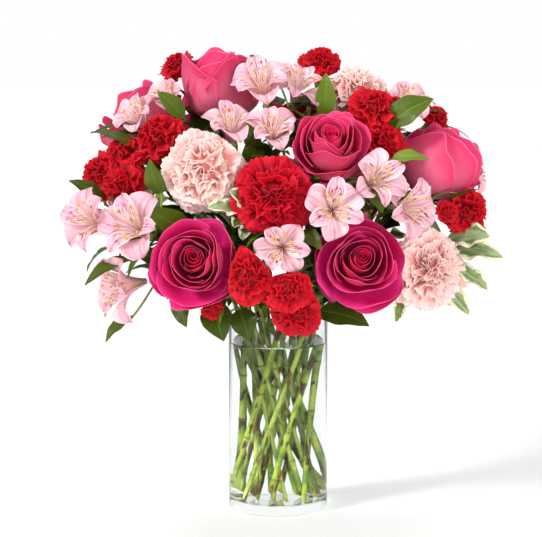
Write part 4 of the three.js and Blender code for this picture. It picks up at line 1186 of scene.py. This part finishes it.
def stamen_material():
    """Layer 0 is the filament and 1 the anther."""
    s = Shader("stamen")
    grain = s.mottle(900)
    s.colour = s.mix(s.layer, s.mix(grain, "#f0cdd0", "#e6aab8"), s.mix(grain, "#e0ae2c", "#b98a2a"))
    return s.finish(0.6, (grain, 0.4, 0.0003))


def leaf_material():
    """Layer 0 is a rose's leaf, dark with side veins, and 1 another's, bright with lines along it."""
    s = Shader("leaf")
    centre = s.math("ABSOLUTE", s.across)
    patch = s.mottle(60, 3)
    bright = s.mix(patch, "#304206", "#566a0a")
    bright = s.mix(s.span(s.draw, 0.8, 1.0), bright, "#78941a")
    bright = s.mix(s.span(s.draw, 0.5, 0.0), bright, "#203004")
    s.colour = s.mix(s.layer, s.mix(patch, "#1a2804", "#303e06"), bright)
    lines = s.times(s.span(s.streaks(26, 0.6, 1), 0.5, 0.7), s.layer)
    s.paint("#5c7a1c", lines, 0.35)
    # Side veins rise from the midrib towards the edge.
    rising = s.math("SUBTRACT", s.times(s.along, 60.0), s.times(centre, 16.0))
    ribs = s.times(s.span(s.math("SINE", rising), 0.82, 1.0), s.math("SUBTRACT", 1.0, s.layer))
    s.paint("#4f7326", ribs, 0.3)
    midrib = s.span(centre, 0.07, 0.0)
    s.paint("#7d9a3c", midrib, 0.6)
    s.paint("#4e6018", (s.face, 0.5, -0.5), 0.35)
    height = s.math("ADD", s.times(ribs, 0.6), s.math("ADD", lines, midrib))
    return s.finish(s.line(patch, 0.28, 0.42), (height, 0.35, -0.0005), 0.3, 0.10, "#b4c414")


def shrub_material():
    """Pale-edged leaves, of a grey green or an olive."""
    s = Shader("shrub_leaf")
    centre = s.math("ABSOLUTE", s.across)
    wander = s.math("SUBTRACT", s.streaks(3, 7, 3), 0.5)
    patch = s.span(s.streaks(3, 4, 3, 43.0), 0.35, 0.6)
    green, olive = s.mix(patch, "#6d8550", "#9fb183"), s.mix(patch, "#4c5f1e", "#6e7d2c")
    s.colour = s.mix(s.span(s.draw, 0.45, 0.55), green, olive)
    s.paint("#eeecc6", s.span(s.math("ADD", centre, s.times(wander, 0.9)), 0.60, 0.74))
    s.paint("#c3cb93", (centre, 0.06, 0.0), 0.6)
    return s.finish(0.4, (s.streaks(14, 14), 0.3, 0.0005), 0.5, 0.16, "#b5c86a")


def stem_material(name, pale, full, scar):
    """Green with paler flecks, and brown at its knots. Where layer is 1, which is on stems that stand
    in the vase, it also has brown scars and a cut end."""
    s = Shader(name)
    flecks = s.mottle(260, 3)
    s.colour = s.mix(s.span(s.mottle(45), 0.35, 0.65), full, pale)
    s.paint("#a8c060", (flecks, 0.5, 0.75), 0.3)
    marks = s.times(s.span(s.streaks(1.3, 0.055, 2, 71.0), 0.56, 0.60), s.layer)
    s.paint(scar, marks, 0.95)
    s.paint(scar, (s.kind, 0.6, 0.95), 0.75)
    s.paint("#8a6f3a", (s.along, 2.5, 0.0), s.layer, 0.6)
    return s.finish(0.45, (s.math("SUBTRACT", flecks, marks), 0.4, 0.0006), 0.15)


def clear_material(name, ior, tint, ripple):
    """Glass or water, which lets the lamps' light through to what is behind it."""
    s = Shader(name)
    waver = s.mottle(ripple, 1)
    glass = s.node("BsdfPrincipled", {
        "Base Color": s.mix(waver, tint, "#ffffff"),
        "Roughness": 0.0,
        "IOR": ior,
        "Transmission Weight": 1.0,
        "Specular Tint": (0.2, 0.2, 0.2, 1),
        "Normal": s.bump(waver, 0.02, 0.001),
    })[0]
    clear = s.node("BsdfTransparent", {"Color": (0.96, 0.97, 0.968, 1)})[0]
    shadow = s.node("LightPath")["Is Shadow Ray"]
    return s.output(s.node("MixShader", {0: shadow, 1: glass, 2: clear})[0])


def floor_material():
    s = Shader("floor")
    s.colour = s.mix(s.mottle(3), "#fafafa", "#fcfcfc")
    return s.finish(0.6, specular=0.2)


PETALS = dict(
    rose=rose_material(),
    carnation=carnation_material("carnation_petal", "#faa093", "#ffe8e0", "#fffcfa", "#ffcfc6", 0.85, 0.38),
    red_carnation=carnation_material(
        "red_carnation_petal", "#840016", "#cc0824", "#e62a42", "#ee0a2c", 0.45, 0.3
    ),
    mini=carnation_material("small_carnation_petal", "#78000e", "#c8061e", "#e42638", "#ee0a24", 0.45, 0.3),
    lily=lily_material(),
)
STAMEN = stamen_material()
LEAF = leaf_material()
SHRUB_LEAF = shrub_material()
STEM = dict(
    rose=stem_material("rose_stem", "#8c9836", "#4f6c1a", "#3c1e08"),
    carnation=stem_material("carnation_stem", "#9ca650", "#617a2a", "#583a10"),
    mini=stem_material("mini_stem", "#909c46", "#58722a", "#543a10"),
    lily=stem_material("lily_stem", "#8c9c38", "#54761c", "#5a3c12"),
    shrub=stem_material("shrub_stem", "#787a40", "#525c2c", "#402818"),
)

# ---- the bouquet

STALK_SEEDS = 100  # the seed of the first plant's stalks and leaves

for node in dict.fromkeys(bloom.node for bloom in HEADS):
    blooms = [bloom for bloom in HEADS if bloom.node == node]
    plant = blooms[0].stem
    piece = Piece()
    for bloom in blooms:
        PETALS_OF[bloom.kind](piece, bloom)
    materials = [PETALS[plant.colour]] + ([STAMEN] if plant.kind == "lily" else [])
    piece.build(node + "_bloom", materials, plant.colour, node + "_petals")

for order, plant in enumerate(STEMS):
    rng = np.random.default_rng(STALK_SEEDS + order)
    slot_name = "shrub" if plant.kind == "shrub" else "stem"
    stalks = Piece()
    for run in plant.runs:
        grow_run(stalks, run, rng)
    for bloom in plant.heads:
        if bloom.kind in CUPS_OF:
            CUPS_OF[bloom.kind](stalks, bloom, rng)
    stalks.build(plant.name + "_stalks", [STEM[plant.kind]], slot_name, plant.name + "_stem")
    leaves = Piece()
    for plan in plant.leaves + filling_leaves(plant, rng):
        leaf_blade(leaves, plan, plant.kind, rng)
    if leaves.count:
        blade = SHRUB_LEAF if plant.kind == "shrub" else LEAF
        leaves.build(plant.name + "_leaves", [blade], slot_name)

vase_piece().build("glass_vase", [clear_material("glass", 1.47, "#f2f7f6", 8)], "glass", "vase")
water_piece().build("vase_water", [clear_material("water", 1.33, "#f4f8f6", 12)], "water", "water")

# ---- floor, light and camera

PHOTO_WIDTH = 542  # pixels
FOCAL_PIXELS = 1779
SENSOR = 36  # mm
CAMERA = (-7.26, -1800, 469)
CAMERA_DOWN = 7.03  # degrees

scene = bpy.context.scene
scene.view_settings.view_transform = "Standard"

camera = bpy.data.cameras.new("camera")
camera.sensor_width = SENSOR
camera.lens = FOCAL_PIXELS / PHOTO_WIDTH * SENSOR
tilt = (math.radians(90 - CAMERA_DOWN), 0, 0)
scene.camera = add_object("camera", camera, [x * MM for x in CAMERA], tilt)

bpy.ops.mesh.primitive_plane_add(size=40, location=(0, 0, -0.0005))
floor = bpy.context.object
floor.name = "floor"
floor.data.materials.append(floor_material())

# The backdrop is white to the eye, also through the glass, and lights the bouquet more softly.
BACKDROP_LIGHT = 0.42  # share of the backdrop's brightness
scene.world = bpy.data.worlds.new("studio")
sky = Nodes(scene.world)
path = sky.node("LightPath")
straight = sky.math("GREATER_THAN", path["Is Transmission Ray"], path["Diffuse Depth"])
strength = sky.line(sky.math("MAXIMUM", path["Is Camera Ray"], straight), BACKDROP_LIGHT, 1.0)
sky.node("OutputWorld", {0: sky.node("Background", {"Color": "#ffffff", "Strength": strength})[0]})

BOUQUET_MIDDLE = (0, 0, 0.3)  # metres


def lamp(name, kind, source, power, colour=(1, 1, 1), **size):
    """A lamp at source, in metres, that looks at the middle of the bouquet. Only a sun's own shape
    shows in what is glossy."""
    data = bpy.data.lights.new(name, kind)
    for key, value in dict(energy=power, color=colour, **size).items():
        setattr(data, key, value)
    back = Vector(source) - Vector(BOUQUET_MIDDLE)
    light = add_object(name, data, source, back.to_track_quat("Z", "Y").to_euler())
    light.visible_glossy = kind == "SUN"


lamp("key", "SUN", (-1.9, -1.2, 1.6), 2.65, (1.0, 0.995, 0.985), angle=math.radians(12))
lamp("top", "SUN", (-0.2, 0.3, 2.0), 1.05, angle=math.radians(40))
lamp("fill", "AREA", (1.1, -2.5, 1.0), 58, (0.98, 0.99, 1.0), size=1.8)
